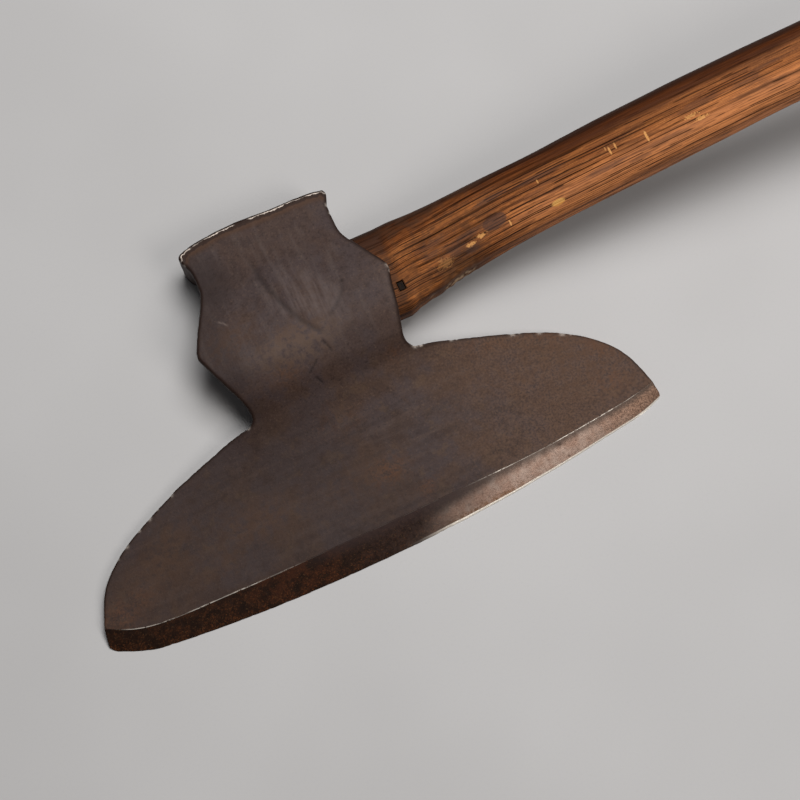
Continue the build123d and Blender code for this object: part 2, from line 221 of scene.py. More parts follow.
# height of the bevel-side face: y, then z at each |x| of FACE_X
FACE_X = np.array((0.0, 25.0, 42.0, 60.0, 100.0, 172.0))
FACE_HEIGHT = np.array([
    (-150.0, 5.6, 5.5, 5.4, 5.3, 5.0, 4.5),
    (-120.0, 6.6, 6.5, 6.4, 6.2, 5.7, 4.8),
    (-85.0, 8.6, 8.4, 8.0, 7.4, 6.2, 5.1),
    (-60.0, 12.6, 12.1, 10.9, 9.2, 6.9, 5.5),
    (-45.0, 18.4, 17.4, 15.2, 12.0, 8.2, 5.9),
    (-32.0, 28.6, 28.0, 26.6, 23.6, 12.4, 6.8),
    (-18.0, 34.0, 33.6, 32.8, 31.0, 18.0, 8.4),
    (0.0, 35.2, 34.9, 34.3, 33.0, 22.0, 10.0),
    (20.0, 32.6, 32.3, 31.7, 30.6, 23.0, 12.0),
    (38.0, 29.6, 29.3, 28.6, 27.6, 22.0, 14.0),
    (50.0, 28.4, 28.1, 27.4, 26.6, 22.0, 15.0),
    (64.0, 27.4, 27.1, 26.4, 25.6, 22.0, 16.0),
])


def face_z(x, y):
    """Height of the bevel-side face of the head above its flat side."""
    x = np.clip(np.abs(x), 0, 171.9)
    y = np.clip(y, -149.9, 63.9)
    cols = [pchip(FACE_HEIGHT[:, 0], FACE_HEIGHT[:, k:k + 1], y)
            for k in range(1, len(FACE_X) + 1)]
    return pchip(np.r_[-FACE_X[:0:-1], FACE_X], np.array(cols[:0:-1] + cols), x)


def ridge_y(x):
    return curve_at(RIDGE_LINE[:, 0], RIDGE_LINE[:, 1], x)[:, 0]


def tongue_y(x):
    return curve_at(TONGUE_LINE[:, 0], TONGUE_LINE[:, 1], x)[:, 0]


# the ridge's height and the edge's y, looked up by x
LOOKUP_X = np.linspace(-171, 171, 343)
RIDGE_Z = face_z(LOOKUP_X, ridge_y(LOOKUP_X))
EDGE_Y = curve_at(EDGE_LINE[:, 0], EDGE_LINE[:, 1], LOOKUP_X)[:, 0]


def edge_y(x):
    return np.interp(x, LOOKUP_X, EDGE_Y)


def bevel_shape(x, y):
    """Height of the slightly crowned bevel with a honed strip at the very edge,
    and how far across it a point is (0 at the edge, 1 at the ridge)."""
    crown = 0.26
    across = (y - edge_y(x)) / (ridge_y(x) - edge_y(x))
    z = (EDGE_LAND + across * (np.interp(x, LOOKUP_X, RIDGE_Z) - EDGE_LAND)
         + crown * 4 * across * (1 - across))
    from_edge = np.maximum(y - edge_y(x), 0)
    return np.minimum(z, 0.16 + 0.95 * from_edge), across


# ------------------------------------------------------------------ mesh tools ----
def link(name, mesh):
    ob = bpy.data.objects.new(name, mesh)
    bpy.context.scene.collection.objects.link(ob)
    return ob


def make_mesh(name, verts, faces, attrs, sharp=None):
    """A smooth mesh object from points in millimetres; points no face uses are dropped."""
    used = np.zeros(len(verts), bool)
    used[[i for face in faces for i in face]] = True
    new = np.cumsum(used) - 1
    mesh = bpy.data.meshes.new(name)
    mesh.from_pydata((verts[used] * MM).tolist(), [],
                     [tuple(int(new[i]) for i in face) for face in faces])
    mesh.validate()
    mesh.update()
    for key, values in attrs.items():
        attr = mesh.attributes.new(key, "FLOAT", "POINT")
        attr.data.foreach_set("value", np.asarray(values, np.float32)[used])
    mesh.shade_smooth()
    if sharp:
        mesh.set_sharp_from_angle(angle=math.radians(sharp))
    return link(name, mesh)


def inside_poly(points, poly):
    """Even-odd test, in slices to keep memory small."""
    x0, y0 = poly[:, 0], poly[:, 1]
    x1, y1 = np.roll(x0, -1), np.roll(y0, -1)
    inside = np.zeros(len(points), bool)
    for s in range(0, len(points), 4000):
        x, y = points[s:s + 4000, 0][:, None], points[s:s + 4000, 1][:, None]
        crosses = (y0 > y) != (y1 > y)
        with np.errstate(divide="ignore", invalid="ignore"):
            cross_x = x0 + (y - y0) / (y1 - y0) * (x1 - x0)
        inside[s:s + 4000] = (np.sum(crosses & (x < cross_x), axis=1) % 2) == 1
    return inside


def hex_points(low, high, spacing, seed):
    """Rows of (x, y, spacing) on a slightly jittered hexagonal grid."""
    rng = np.random.default_rng(seed)
    row_gap = spacing * math.sqrt(3) / 2
    rows = int((high[1] - low[1]) / row_gap) + 1
    cols = int((high[0] - low[0]) / spacing) + 1
    j, i = np.mgrid[0:rows, 0:cols]
    points = np.c_[(low[0] + (i + 0.5 * (j % 2)) * spacing).ravel(),
                   (low[1] + j * row_gap).ravel()]
    points = points + rng.uniform(-0.10, 0.10, points.shape) * spacing
    return np.c_[points, np.full(len(points), spacing)]


def triangulate(points, edges, border):
    """Constrained Delaunay triangles, in the numbering of the given points."""
    made = delaunay_2d_cdt([Vector((float(x), float(y))) for x, y in points], edges, [border],
                           1, 1e-7, True)
    sources = made[3]
    if not all(sources):
        raise RuntimeError("the triangulation made new points")
    return np.array([[sources[i][0] for i in face] for face in made[2]])


def wound(points, tris, sign):
    """Triangles turned so that the sign of their area in 2D is the given one."""
    a, b, c = points[tris].transpose(1, 0, 2)
    area = (b[:, 0] - a[:, 0]) * (c[:, 1] - a[:, 1]) - (c[:, 0] - a[:, 0]) * (b[:, 1] - a[:, 1])
    return np.where((sign * area > 0)[:, None], tris, tris[:, [0, 2, 1]])


def fill(ring, seams, cloud):
    """Points and triangles inside a closed ring; the ring's points come first.

    Each seam is a polyline (ring index, inner points, ring index) that edges must follow.
    cloud(low, high) gives loose points as rows of (x, y, spacing)."""
    stretches = [ring]
    count = len(ring)
    edges = [(i, (i + 1) % count) for i in range(count)]
    for start, inner, end in seams:
        ids = [start, *range(count, count + len(inner)), end]
        stretches.append(inner)
        count += len(inner)
        edges += list(zip(ids[:-1], ids[1:]))
    fixed = np.vstack(stretches)
    loose = cloud(ring.min(0), ring.max(0))
    loose = loose[inside_poly(loose, ring)]
    tree = kdtree.KDTree(len(fixed))
    for i, (x, y) in enumerate(fixed):
        tree.insert((x, y, 0), i)
    tree.balance()
    gap = np.array([tree.find((x, y, 0))[2] for x, y, _ in loose])
    points = np.vstack([fixed, loose[gap > 0.55 * loose[:, 2], :2]])
    tris = triangulate(points, edges, list(range(len(ring))))
    return points, tris[inside_poly(points[tris].mean(1), ring)]


# --------------------------------------------------------- plates with a rim ----
def loop_normals(loop):
    """Inward normals of a clockwise loop; corners get a mitred bisector."""
    before, after = loop - np.roll(loop, 1, 0), np.roll(loop, -1, 0) - loop
    before /= np.maximum(np.linalg.norm(before, axis=1), 1e-9)[:, None]
    after /= np.maximum(np.linalg.norm(after, axis=1), 1e-9)[:, None]
    first, second = np.c_[before[:, 1], -before[:, 0]], np.c_[after[:, 1], -after[:, 0]]
    normal = first + second
    normal /= np.maximum(np.linalg.norm(normal, axis=1), 1e-9)[:, None]
    cosine = np.clip(np.sum(normal * first, axis=1), 0.5, 1)
    return normal / cosine[:, None]


def soft_normals(loop, times):
    """Unit inward normals, averaged with their neighbours a number of times."""
    normals = loop_normals(loop)
    for _ in range(times):
        normals = 0.5 * normals + 0.25 * (np.roll(normals, 1, 0) + np.roll(normals, -1, 0))
    return normals / np.linalg.norm(normals, axis=1)[:, None]


def wall_patch(ids, s, z, hole, first_new):
    """Faces over a grid of wall points (ids, rows by columns) round a hole.

    The wall is unrolled: s runs along the columns, z is up. Hole points are numbered
    from first_new."""
    rows, cols = ids.shape
    grid = np.arange(ids.size).reshape(rows, cols)
    border = np.r_[grid[0], grid[1:, -1], grid[-1, -2::-1], grid[-2:0:-1, 0]]
    flat = np.c_[np.tile(s, rows), z.ravel()]
    keep = ~inside_poly(flat, hole) & (line_dist(flat, closed(hole))[0] > 0.45)
    keep[border] = True
    new = np.cumsum(keep) - 1
    points = np.vstack([flat[keep], hole])
    kept, around = int(keep.sum()), len(hole)
    edges = [(kept + i, kept + (i + 1) % around) for i in range(around)]
    tris = triangulate(points, edges, new[border].tolist())
    middle = points[tris].mean(1)
    tris = tris[~inside_poly(middle, hole) & inside_poly(middle, flat[border])]
    # s runs clockwise round the loop, so outward faces have negative area here
    all_ids = np.r_[ids.ravel()[keep], np.arange(first_new, first_new + around)]
    return all_ids[wound(points, tris, -1)]


def plate(loop, rim_z, top_z, bottom_edge, bottom_z, r_top, r_bottom, insets, wall_step,
          top_cloud, bottom_cloud, normals, top_seams=(), bottom_seams=(), holes=()):
    """A closed plate: flat-ish top and bottom joined by a wall with rounded rims.

    rim_z(x, y) gives the height of the top on the rings round the loop, top_z(x, y) that
    of the points inside, bottom_edge the bottom's height at each loop point. r_top and
    r_bottom are rim radii per loop point, holes are closed loops (s, z) in the wall.
    Returns verts, faces and the numbering of the parts."""
    n = len(loop)
    verts, rings, faces = [], [], []

    def append(points):
        base = sum(len(v) for v in verts)
        verts.append(points)
        return np.arange(base, base + len(points))

    def add_ring(inset, z=None, drop=0.0):
        points = loop + normals * inset[:, None]
        if z is None:
            z = rim_z(points[:, 0], points[:, 1]) - drop
        rings.append(append(np.c_[points, z]))
        return points

    def add_cap(ring_ids, ring, seams, cloud, height, sign):
        points, tris = fill(ring, seams, cloud)
        inner = points[n:]
        new_ids = append(np.c_[inner, height(inner[:, 0], inner[:, 1])])
        faces.extend(map(tuple, np.r_[ring_ids, new_ids][wound(points, tris, sign)]))
        return new_ids

    low = bottom_edge + r_bottom
    high = rim_z(loop[:, 0], loop[:, 1]) - r_top
    for angle in map(math.radians, (90, 60, 30)):
        ring = add_ring(r_bottom * (1 - math.cos(angle)),
                        bottom_edge + r_bottom * (1 - math.sin(angle)))
        if len(rings) == 1:
            bottom_ring = ring
    first_wall = len(rings)
    rows = max(3, int(round(float(np.max(high - low)) / wall_step)))
    for k in range(rows + 1):
        add_ring(np.zeros(n), low + k / rows * (high - low))
    last_wall = len(rings) - 1
    for angle in map(math.radians, (18, 36, 54, 72, 90)):
        add_ring(r_top * (1 - math.cos(angle)), drop=r_top * (1 - math.sin(angle)))
    for inset in insets:
        top_ring = add_ring(r_top + inset)

    # leave a stretch of wall open round each hole
    length = lengths(closed(loop))
    openings = []
    for hole in holes:
        start = int(np.searchsorted(length, hole[:, 0].min() - 3.0)) - 1
        end = int(np.searchsorted(length, hole[:, 0].max() + 3.0))
        openings.append((start, end, hole))
    skip = {i for start, end, _ in openings for i in range(start, end)}
    for k, (lower, upper) in enumerate(zip(rings[:-1], rings[1:])):
        for i in range(n):
            if first_wall <= k < last_wall and i in skip:
                continue
            j = (i + 1) % n
            faces.append((lower[j], lower[i], upper[i], upper[j]))

    top_ids = add_cap(rings[-1], top_ring, top_seams, top_cloud, top_z, 1)
    add_cap(rings[0], bottom_ring, bottom_seams, bottom_cloud, bottom_z, -1)

    hole_rings = []
    for start, end, hole in openings:
        cols = np.arange(start, end + 1)
        ids = np.array([ring[cols % n] for ring in rings[first_wall:last_wall + 1]])
        z = np.vstack(verts)[ids, 2]
        x, y = (np.interp(hole[:, 0], length, closed(loop)[:, axis]) for axis in (0, 1))
        hole_ids = append(np.c_[x, y, hole[:, 1]])
        faces.extend(map(tuple, wall_patch(ids, length[cols], z, hole, int(hole_ids[0]))))
        hole_rings.append(hole_ids)
    parts = {"rings": rings, "hole_rings": hole_rings, "first_wall": first_wall,
             "last_wall": last_wall, "normals": normals, "top": top_ids}
    return np.vstack(verts), faces, parts


def plate_weights(parts, count):
    """How far each point is towards the top face (0..1), how near the top rim (0..1),
    and its inward normal."""
    up, rim = np.zeros(count), np.zeros(count)
    normals = np.zeros((count, 2))
    first, last = parts["first_wall"], parts["last_wall"]
    for k, ids in enumerate(parts["rings"]):
        normals[ids] = parts["normals"]
        if first <= k <= last:
            up[ids] = (k - first) / (last - first)
            rim[ids] = max(0.0, 1 - (last - k) * 0.5)
        elif k > last:
            up[ids] = 1
            rim[ids] = max(0.0, 1 - max(0, k - last - 4) * 0.3)
    up[parts["top"]] = 1
    return up, rim, normals


# -------------------------------------------- the outline shared by iron and steel ----
def sampled(points):
    """Cubic curve through the points, sampled about every STEP."""
    points = np.array(points, float)
    knots = lengths(points)
    count = max(2, int(math.ceil(knots[-1] / STEP)) + 1)
    return curve_at(knots, points, np.linspace(0, knots[-1], count))


def chain(*stretches):
    """Joins stretches that share end points."""
    return np.vstack([stretches[0]] + [s[1:] for s in stretches[1:]])


def seam(line_y, x0, x1, step, shift=0.0):
    """Points on a line between x0 and x1, without its ends."""
    count = max(3, int(abs(x1 - x0) / step))
    x = np.linspace(x0, x1, count + 1)[1:-1]
    return np.c_[x, line_y(x) + shift]


def add_crossing(line, offset):
    """Adds the point where offset changes sign; returns the line and the point's index."""
    values = offset(line)
    k = int(np.nonzero(np.sign(values[:-1]) != np.sign(values[1:]))[0][0])
    a, b = line[k].copy(), line[k + 1].copy()
    for _ in range(40):
        middle = (a + b) / 2
        if np.sign(offset(middle[None])[0]) == np.sign(values[k]):
            a = middle
        else:
            b = middle
    middle = (a + b) / 2
    before, after = line[:k + 1], line[k + 1:]
    if np.linalg.norm(before[-1] - middle) < 0.3:
        before = before[:-1]
    if np.linalg.norm(after[0] - middle) < 0.3:
        after = after[1:]
    return np.vstack([before, middle, after]), len(before)


def add_beside(line, i, gap):
    """Adds a point at a distance gap after point i, or before it if gap is negative."""
    ahead = gap > 0
    step = line[i + 1 if ahead else i - 1] - line[i]
    extra = line[i] + step / np.linalg.norm(step) * abs(gap)
    at = i + 1 if ahead else i
    return np.vstack([line[:at], extra, line[at:]])


def from_ridge(points):
    return points[:, 1] - ridge_y(points[:, 0])


def from_tongue(points):
    return points[:, 1] - tongue_y(points[:, 0])


# _r is at +X, _l at -X
(poll, lip_r, side_r, ear_r, neck_r, corner_r, shoulder_r, toe_r, edge, toe_l, shoulder_l,
 corner_l, neck_l, ear_l, side_l, lip_l) = [sampled(points) for points in OUTLINE]

# both shoulders get a point at the end of the tongue and one at the end of the ridge
SEAM_GAP = 0.06
shoulder_r, _ = add_crossing(shoulder_r, from_tongue)
shoulder_r, ridge_at_r = add_crossing(shoulder_r, from_ridge)
tongue_at_r = int(np.argmin(np.abs(from_tongue(shoulder_r))))
shoulder_l, _ = add_crossing(shoulder_l, from_ridge)
shoulder_l, tongue_at_l = add_crossing(shoulder_l, from_tongue)
ridge_at_l = int(np.argmin(np.abs(from_ridge(shoulder_l))))
ridge_end_r, tongue_end_r = shoulder_r[ridge_at_r], shoulder_r[tongue_at_r]
ridge_end_l, tongue_end_l = shoulder_l[ridge_at_l], shoulder_l[tongue_at_l]
tongue_to_ridge = ridge_at_r - tongue_at_r  # points between them at +X


# ------------------------------------------------------ relief of the forged head ----
# grooves: points, depth, width, darkness, dark width, fade-in end, fade-out start
ARCS = [
    ([(-13.0, 40.0), (-10.7, 33.8), (-9.7, 20.0), (-5.8, 5.1), (-0.3, -8.4), (6.1, -17.0),
      (10.7, -21.7)], 0.42, 2.0, 0.55, 1.5, 0.25, 0.86),
    ([(29.0, 3.5), (26.4, -2.5), (21.1, -7.9), (16.0, -11.5), (11.6, -13.6)],
     0.26, 1.3, 0.40, 1.0, 0.2, 0.8)]
SWELL_SHIFT = (8.0, 1.0)  # from the first groove to the soft swell beside it
SCRATCHES = [  # points, depth, half width
    ([(0.2, -29.5), (-3.6, -32.4), (-7.6, -35.0)], 0.30, 0.40),
    ([(5.4, -22.2), (7.6, -26.0), (8.2, -29.5)], 0.30, 0.45),
    ([(-5.2, -36.8), (-3.2, -39.1), (-2.2, -41.2)], 0.42, 0.55),
    ([(-40.0, 9.3), (-37.8, 7.4), (-35.2, 4.4)], 0.14, 0.40),
]
PIT_X, PIT_Y, PIT_DEPTH, PIT_RADIUS = 28.3, 2.8, 0.45, 0.8


def flattened(points):
    return np.c_[points[:, 0], points[:, 1], np.zeros(len(points))]


def poll_coord(points):
    """Distance in from the poll line, and a window that is 1 along the poll."""
    dist, _ = line_dist(points, np.vstack([lip_l[-6:-1], poll, lip_r[1:3]]))
    return dist, smooth(40.0, 46.0, points[:, 1])


def head_relief(points):
    """Height change of the bevel-side face at (x, y) points, and the strength there of
    dark marks, light marks and the battered crest along the poll."""
    flat = flattened(points)
    dz = 0.26 * fbm(flat, 40, 3, 5) + 0.11 * fbm(flat, 13, 3, 6) + 0.045 * fbm(flat, 4.2, 2, 7)
    dark = np.zeros(len(points))
    light = np.zeros(len(points))
    for line, depth, width, darkness, dark_width, fade_in, fade_out in ARCS:
        dist, along = line_dist(points, line)
        fade = smooth(0.0, fade_in, along) * smooth(1.0, fade_out, along)
        dz -= depth * bell(dist, width) * fade
        dark += darkness * bell(dist, dark_width) * fade
    dist, along = line_dist(points, np.array(ARCS[0][0]) + SWELL_SHIFT)
    dz += 0.22 * bell(dist, 5.0) * smooth(0.0, 0.3, along) * smooth(1.0, 0.7, along)
    for line, depth, half in SCRATCHES:
        dist, along = line_dist(points, line)
        mark = bell(dist, half) * smooth(-0.02, 0.15, along) * smooth(1.02, 0.85, along)
        dz -= depth * mark
        if depth > 0.2:
            dark += 0.9 * mark
        else:
            light += 0.8 * mark
    mark = np.exp(-((points[:, 0] - PIT_X) ** 2 + (points[:, 1] - PIT_Y) ** 2)
                  / PIT_RADIUS ** 2)
    dz -= PIT_DEPTH * mark
    dark += 0.9 * mark
    # scattered small pits
    mark = smooth(0.70, 0.92, noise(flat, 3.1, 40)) * smooth(-0.2, 0.5, fbm(flat, 30, 2, 41))
    dz -= 0.06 * mark
    dark += 0.12 * mark
    # battered lip along the poll, and a shallow dip beside it
    dist, window = poll_coord(points)
    jag = 0.62 + 0.38 * noise(flat, 3.4, 8) + 0.2 * noise(flat, 1.3, 9)
    wander = 0.30 * noise(flat, 5.0, 10)
    crest = bell(dist - 1.45 - wander - 0.22 * noise(flat, 2.2, 11), 0.55) * window
    dz += 0.52 * crest * np.clip(jag, 0.1, 1.3)
    dz -= 0.14 * bell(dist - 4.2, 1.9) * window
    return dz, np.clip(dark, 0, 1), np.clip(light, 0, 1), crest * np.clip(jag, 0, 1)


# --------------------------------------------------------------------- the eye ----
EYE_Y, EYE_Z = 0.8, 17.4             # centre
EYE_W, EYE_H, EYE_R = 51.0, 22.0, 8.0  # width along Y, height, corner radius
FLARE_X, FLARE_END = -8.0, -62.0     # it widens from one x to the other
FLARE_W, FLARE_H = 53.0, 24.2        # size at FLARE_END
EYE_POINTS = 120
MOUTH_GROW = 0.5                     # how much wider the eye is where it meets the sides


def rounded_rect(w, h, r, count):
    """Evenly spaced points round a rounded rectangle, from its +y side."""
    half_w, half_h = w / 2 - r, h / 2 - r
    points = []
    for cx, cy, start in ((half_w, half_h, 0), (-half_w, half_h, 90), (-half_w, -half_h, 180),
                          (half_w, -half_h, 270)):
        for angle in map(math.radians, np.linspace(start, start + 90, 15)):
            points.append((cx + r * math.cos(angle), cy + r * math.sin(angle)))
    points = closed(np.array(points))
    length = lengths(points)
    at = np.linspace(0, length[-1], count + 1)[:-1]
    return np.c_[np.interp(at, length, points[:, 0]), np.interp(at, length, points[:, 1])]


def eye_size(x):
    """Width and height of the eye at x."""
    f = np.clip((FLARE_X - x) / (FLARE_X - FLARE_END), 0, 1)
    return EYE_W + f * (FLARE_W - EYE_W), EYE_H + f * (FLARE_H - EYE_H)


def eye_ring(x_each, grow):
    """A ring in the eye's wall whose points each have their own x."""
    ring = []
    for i, x in enumerate(x_each):
        w, h = eye_size(x)
        y, z = rounded_rect(w + 2 * grow, h + 2 * grow, EYE_R + grow, EYE_POINTS)[i]
        ring.append((x, y + EYE_Y, z + EYE_Z))
    return np.array(ring)


# ------------------------------------------------------------------- iron head ----
UNDERSIDE_Z = 3.0  # height of the iron over the steel tongue

up_left = add_beside(shoulder_l[ridge_at_l:], tongue_at_l - ridge_at_l, SEAM_GAP)
down_right = add_beside(shoulder_r[:ridge_at_r + 1], tongue_at_r, -SEAM_GAP)
round_head = chain(up_left, corner_l, neck_l, ear_l, side_l, lip_l, poll, lip_r, side_r, ear_r,
                   neck_r, corner_r, down_right)
head_loop = np.vstack([round_head, seam(ridge_y, ridge_end_r[0], ridge_end_l[0], STEP)])
round_count = len(round_head)
head_tongue_l = tongue_at_l - ridge_at_l
head_tongue_r = round_count - 1 - tongue_to_ridge
head_s = lengths(head_loop)
on_ridge = np.arange(len(head_loop)) >= round_count

head_edge_bottom = np.where(on_ridge, UNDERSIDE_Z, 0.0)
head_edge_bottom[:head_tongue_l + 1] = UNDERSIDE_Z
head_edge_bottom[head_tongue_r:round_count] = UNDERSIDE_Z
# rim radii: small where iron meets steel, 1.25 along the poll
edge_height = face_z(head_loop[:, 0], head_loop[:, 1])
r_top = np.where(edge_height > 20, 1.5, np.clip(0.6 + 0.06 * edge_height, 0.8, 1.5))
end_ramp = smooth(0.0, 5.0, head_s) * smooth(0.0, 5.0, head_s[round_count - 1] - head_s)
r_top = 0.16 + (r_top - 0.16) * np.where(on_ridge, 0, end_ramp)
r_top = np.where(on_ridge, 0.12, r_top)
near_poll = smooth(44.0, 50.0, head_loop[:, 1])
r_top = r_top * (1 - near_poll) + 1.25 * near_poll
r_bottom = np.where(head_edge_bottom > 1, 0.05,
                    0.05 + 0.5 * smooth(0.5, 5.0, head_s - head_s[head_tongue_l + 1])
                    * smooth(0.5, 5.0, head_s[head_tongue_r - 1] - head_s))
head_normals = soft_normals(head_loop, 60)


def head_bottom(x, y):
    return np.where(y > tongue_y(x) + 0.02, 0.0, UNDERSIDE_Z)


def mouth(sign):
    """Ring where the eye meets the side of the head at +X or -X, and how far round the
    loop each of its points is."""
    x, y = head_loop.T
    side = np.c_[x, y, head_s][(np.sign(x) == sign) & (np.abs(y) < 34.5) & ~on_ridge]
    side = side[np.argsort(side[:, 1])]
    x_each = np.full(EYE_POINTS, sign * 50.0)
    for _ in range(6):
        ring = eye_ring(x_each, MOUTH_GROW)
        x_each = np.interp(ring[:, 1], side[:, 1], side[:, 0])
    ring[:, 0] = x_each
    return ring, np.interp(ring[:, 1], side[:, 1], side[:, 2])


mouth_l, mouth_s_l = mouth(-1)
mouth_r, mouth_s_r = mouth(1)
tongue_seam = seam(tongue_y, tongue_end_l[0], tongue_end_r[0], 1.6)
head_v, head_f, head_parts = plate(
    head_loop, rim_z=face_z, top_z=face_z, bottom_edge=head_edge_bottom, bottom_z=head_bottom,
    r_top=r_top, r_bottom=r_bottom, insets=(0.4, 0.85, 1.35), wall_step=1.25,
    top_cloud=lambda low, high: hex_points(low, high, 0.82, 11),
    bottom_cloud=lambda low, high: hex_points(low, high, 2.1, 12), normals=head_normals,
    bottom_seams=[(head_tongue_l, tongue_seam, head_tongue_r),
                  (head_tongue_l + 1, tongue_seam + [0, SEAM_GAP], head_tongue_r - 1)],
    holes=[np.c_[mouth_s_l, mouth_l[:, 2]], np.c_[mouth_s_r, mouth_r[:, 2]]])

# the wall of the eye, from the -X mouth to the +X mouth
MOUTH_ROUNDING = ((0.32, 0.28), (0.08, 0.62), (0.0, 1.1))  # grow, distance in from the side
left_rows = [eye_ring(mouth_l[:, 0] + inset, grow) for grow, inset in MOUTH_ROUNDING]
right_rows = [eye_ring(mouth_r[:, 0] - inset, grow) for grow, inset in MOUTH_ROUNDING]
left_x, right_x = left_rows[-1][:, 0], right_rows[-1][:, 0]
middle_x = [left_x + t * (FLARE_X - left_x) for t in np.linspace(0, 1, 16)[1:-1]]
middle_x.append(np.full(EYE_POINTS, FLARE_X))
middle_x += [FLARE_X + t * (right_x - FLARE_X) for t in np.linspace(0, 1, 20)[1:-1]]
eye_rows = left_rows + [eye_ring(x, 0.0) for x in middle_x] + right_rows[::-1]
eye_ids = (len(head_v) + np.arange(len(eye_rows) * EYE_POINTS)).reshape(-1, EYE_POINTS)
head_v = np.vstack([head_v] + eye_rows)
hole_l, hole_r = head_parts["hole_rings"]
eye_rings = [hole_l, *eye_ids, hole_r]
for ring0, ring1 in zip(eye_rings[:-1], eye_rings[1:]):
    for i in range(EYE_POINTS):
        j = (i + 1) % EYE_POINTS
        head_f.append((ring0[j], ring0[i], ring1[i], ring1[j]))

# relief of the face, fading out where iron meets steel
head_count = len(head_v)
up, rim, inward = plate_weights(head_parts, head_count)
hole_ids = np.r_[hole_l, hole_r]
for axis in (0, 1):
    inward[hole_ids, axis] = np.interp(np.r_[mouth_s_l, mouth_s_r], head_s,
                                       head_normals[:, axis])
up[hole_ids] = 0.5
raised = up > 0.02
dz, dark, light, crest = np.zeros((4, head_count))
dz[raised], dark[raised], light[raised], crest[raised] = head_relief(head_v[raised, :2])
ridge_gap = from_ridge(head_v)
meet = smooth(0.05, 2.5, ridge_gap)
dz = dz * up * meet
dark, light, crest = (mask * (up > 0.95) for mask in (dark, light, crest))

# relief of the wall
wall = (0.22 * fbm(head_v, 17, 3, 21) + 0.10 * fbm(head_v, 5, 2, 22)
        - 0.16 * smooth(0.5, 0.9, noise(head_v, 3.0, 23)))
rough_wall = np.zeros(head_count, bool)
rough_wall[np.concatenate(head_parts["rings"])] = True
rough_wall[hole_ids] = True
for ids in head_parts["rings"]:
    rough_wall[ids[on_ridge]] = False
from_ends = np.minimum(*(np.linalg.norm(head_v[:, :2] - end, axis=1)
                         for end in (ridge_end_l, ridge_end_r)))
wall = np.where(rough_wall, wall * smooth(0.3, 6.0, from_ends)
                * smooth(0.0, 3.0, head_v[:, 2]), 0)
wall[hole_ids] *= 0.5
head_v[:, :2] -= inward * wall[:, None]

NICKS = [  # x, y, half width, depth
    (40.0, 47.4, 1.0, 0.5), (39.5, 42.3, 0.7, 0.35), (54.4, 0.6, 1.2, 0.5),
    (54.2, -2.6, 0.8, 0.5), (51.0, -40.5, 1.5, 0.55), (54.0, -41.4, 0.9, 0.4),
    (70.7, -44.3, 1.0, 0.35), (73.5, -45.2, 0.6, 0.3), (102.5, -54.1, 1.5, 0.4),
    (106.0, -55.4, 0.7, 0.3), (116.1, -59.4, 1.2, 0.4), (127.1, -64.8, 1.6, 0.4),
    (131.0, -67.2, 0.8, 0.3), (-98.3, -58.9, 1.0, 0.35), (-113.6, -65.6, 1.1, 0.4),
    (-121.1, -69.3, 0.9, 0.4), (-130.2, -74.1, 1.1, 0.45), (-136.5, -78.6, 0.6, 0.3),
    (-108.0, -63.1, 0.6, 0.25), (-43.5, 47.5, 0.8, 0.3), (-47.4, -44.7, 0.9, 0.3),
    (-88.0, -55.1, 0.6, 0.2)]


def random_nicks(seed, points, count, halves, depths):
    """Nicks (x, y, half width, depth) at random points."""
    rng = np.random.default_rng(seed)
    return [(points[i, 0], points[i, 1], rng.uniform(*halves), rng.uniform(*depths))
            for i in rng.integers(0, len(points), count)]


def rim_nicks(verts, rim, nicks):
    """Depth of the nicks at each rim point, and where the deeper ones show bright metal."""
    ids = np.nonzero(rim > 0.05)[0]
    tree = kdtree.KDTree(len(ids))
    for n, i in enumerate(ids):
        tree.insert((verts[i, 0], verts[i, 1], 0), n)
    tree.balance()
    depth, bright = np.zeros(len(verts)), np.zeros(len(verts))
    for x, y, half, deep in nicks:
        for _, n, dist in tree.find_range((x, y, 0), half * 3.2):
            i = ids[n]
            depth[i] = max(depth[i], bell(dist, half) * deep)
            if deep > 0.23:
                bright[i] = max(bright[i], bell(dist, half * 0.9))
    return depth * np.clip(rim * 1.2, 0, 1), bright


rim_points = head_loop[~on_ridge & (np.abs(head_loop[:, 0]) > 20)]
cut, nick = rim_nicks(head_v, rim,
                      NICKS + random_nicks(5, rim_points, 70, (0.4, 1.1), (0.06, 0.2)))
head_v[:, 2] += dz - cut * 0.9
head_v[:, :2] += inward * (cut * 0.7)[:, None]
# hollow and shallow pits on the flat side, never standing proud of it
flat = (up < 0.01) & (np.abs(head_v[:, 2]) < 0.02)
at = head_v[flat]
head_v[flat, 2] += (0.02 + 0.10 * smooth(0.45, 0.9, noise(at, 4.0, 31))
                    + 0.05 * np.abs(fbm(at, 24, 2, 32)))
# neck, ears and poll are undercut: narrower on the flat side
head_v[:, 0] *= 1 - (0.095 * smooth(-42.0, -30.0, head_v[:, 1])
                     * (1 - 0.85 * smooth(40.0, 47.0, head_v[:, 1]))
                     * np.clip(1 - head_v[:, 2] / 26.0, 0, 1))

ridge_rim = np.zeros(head_count)
for k, ids in enumerate(head_parts["rings"]):
    above = k - head_parts["last_wall"]
    if above > 0:
        ridge_rim[ids[on_ridge]] = max(0.0, 1 - 0.28 * max(0, above - 3))

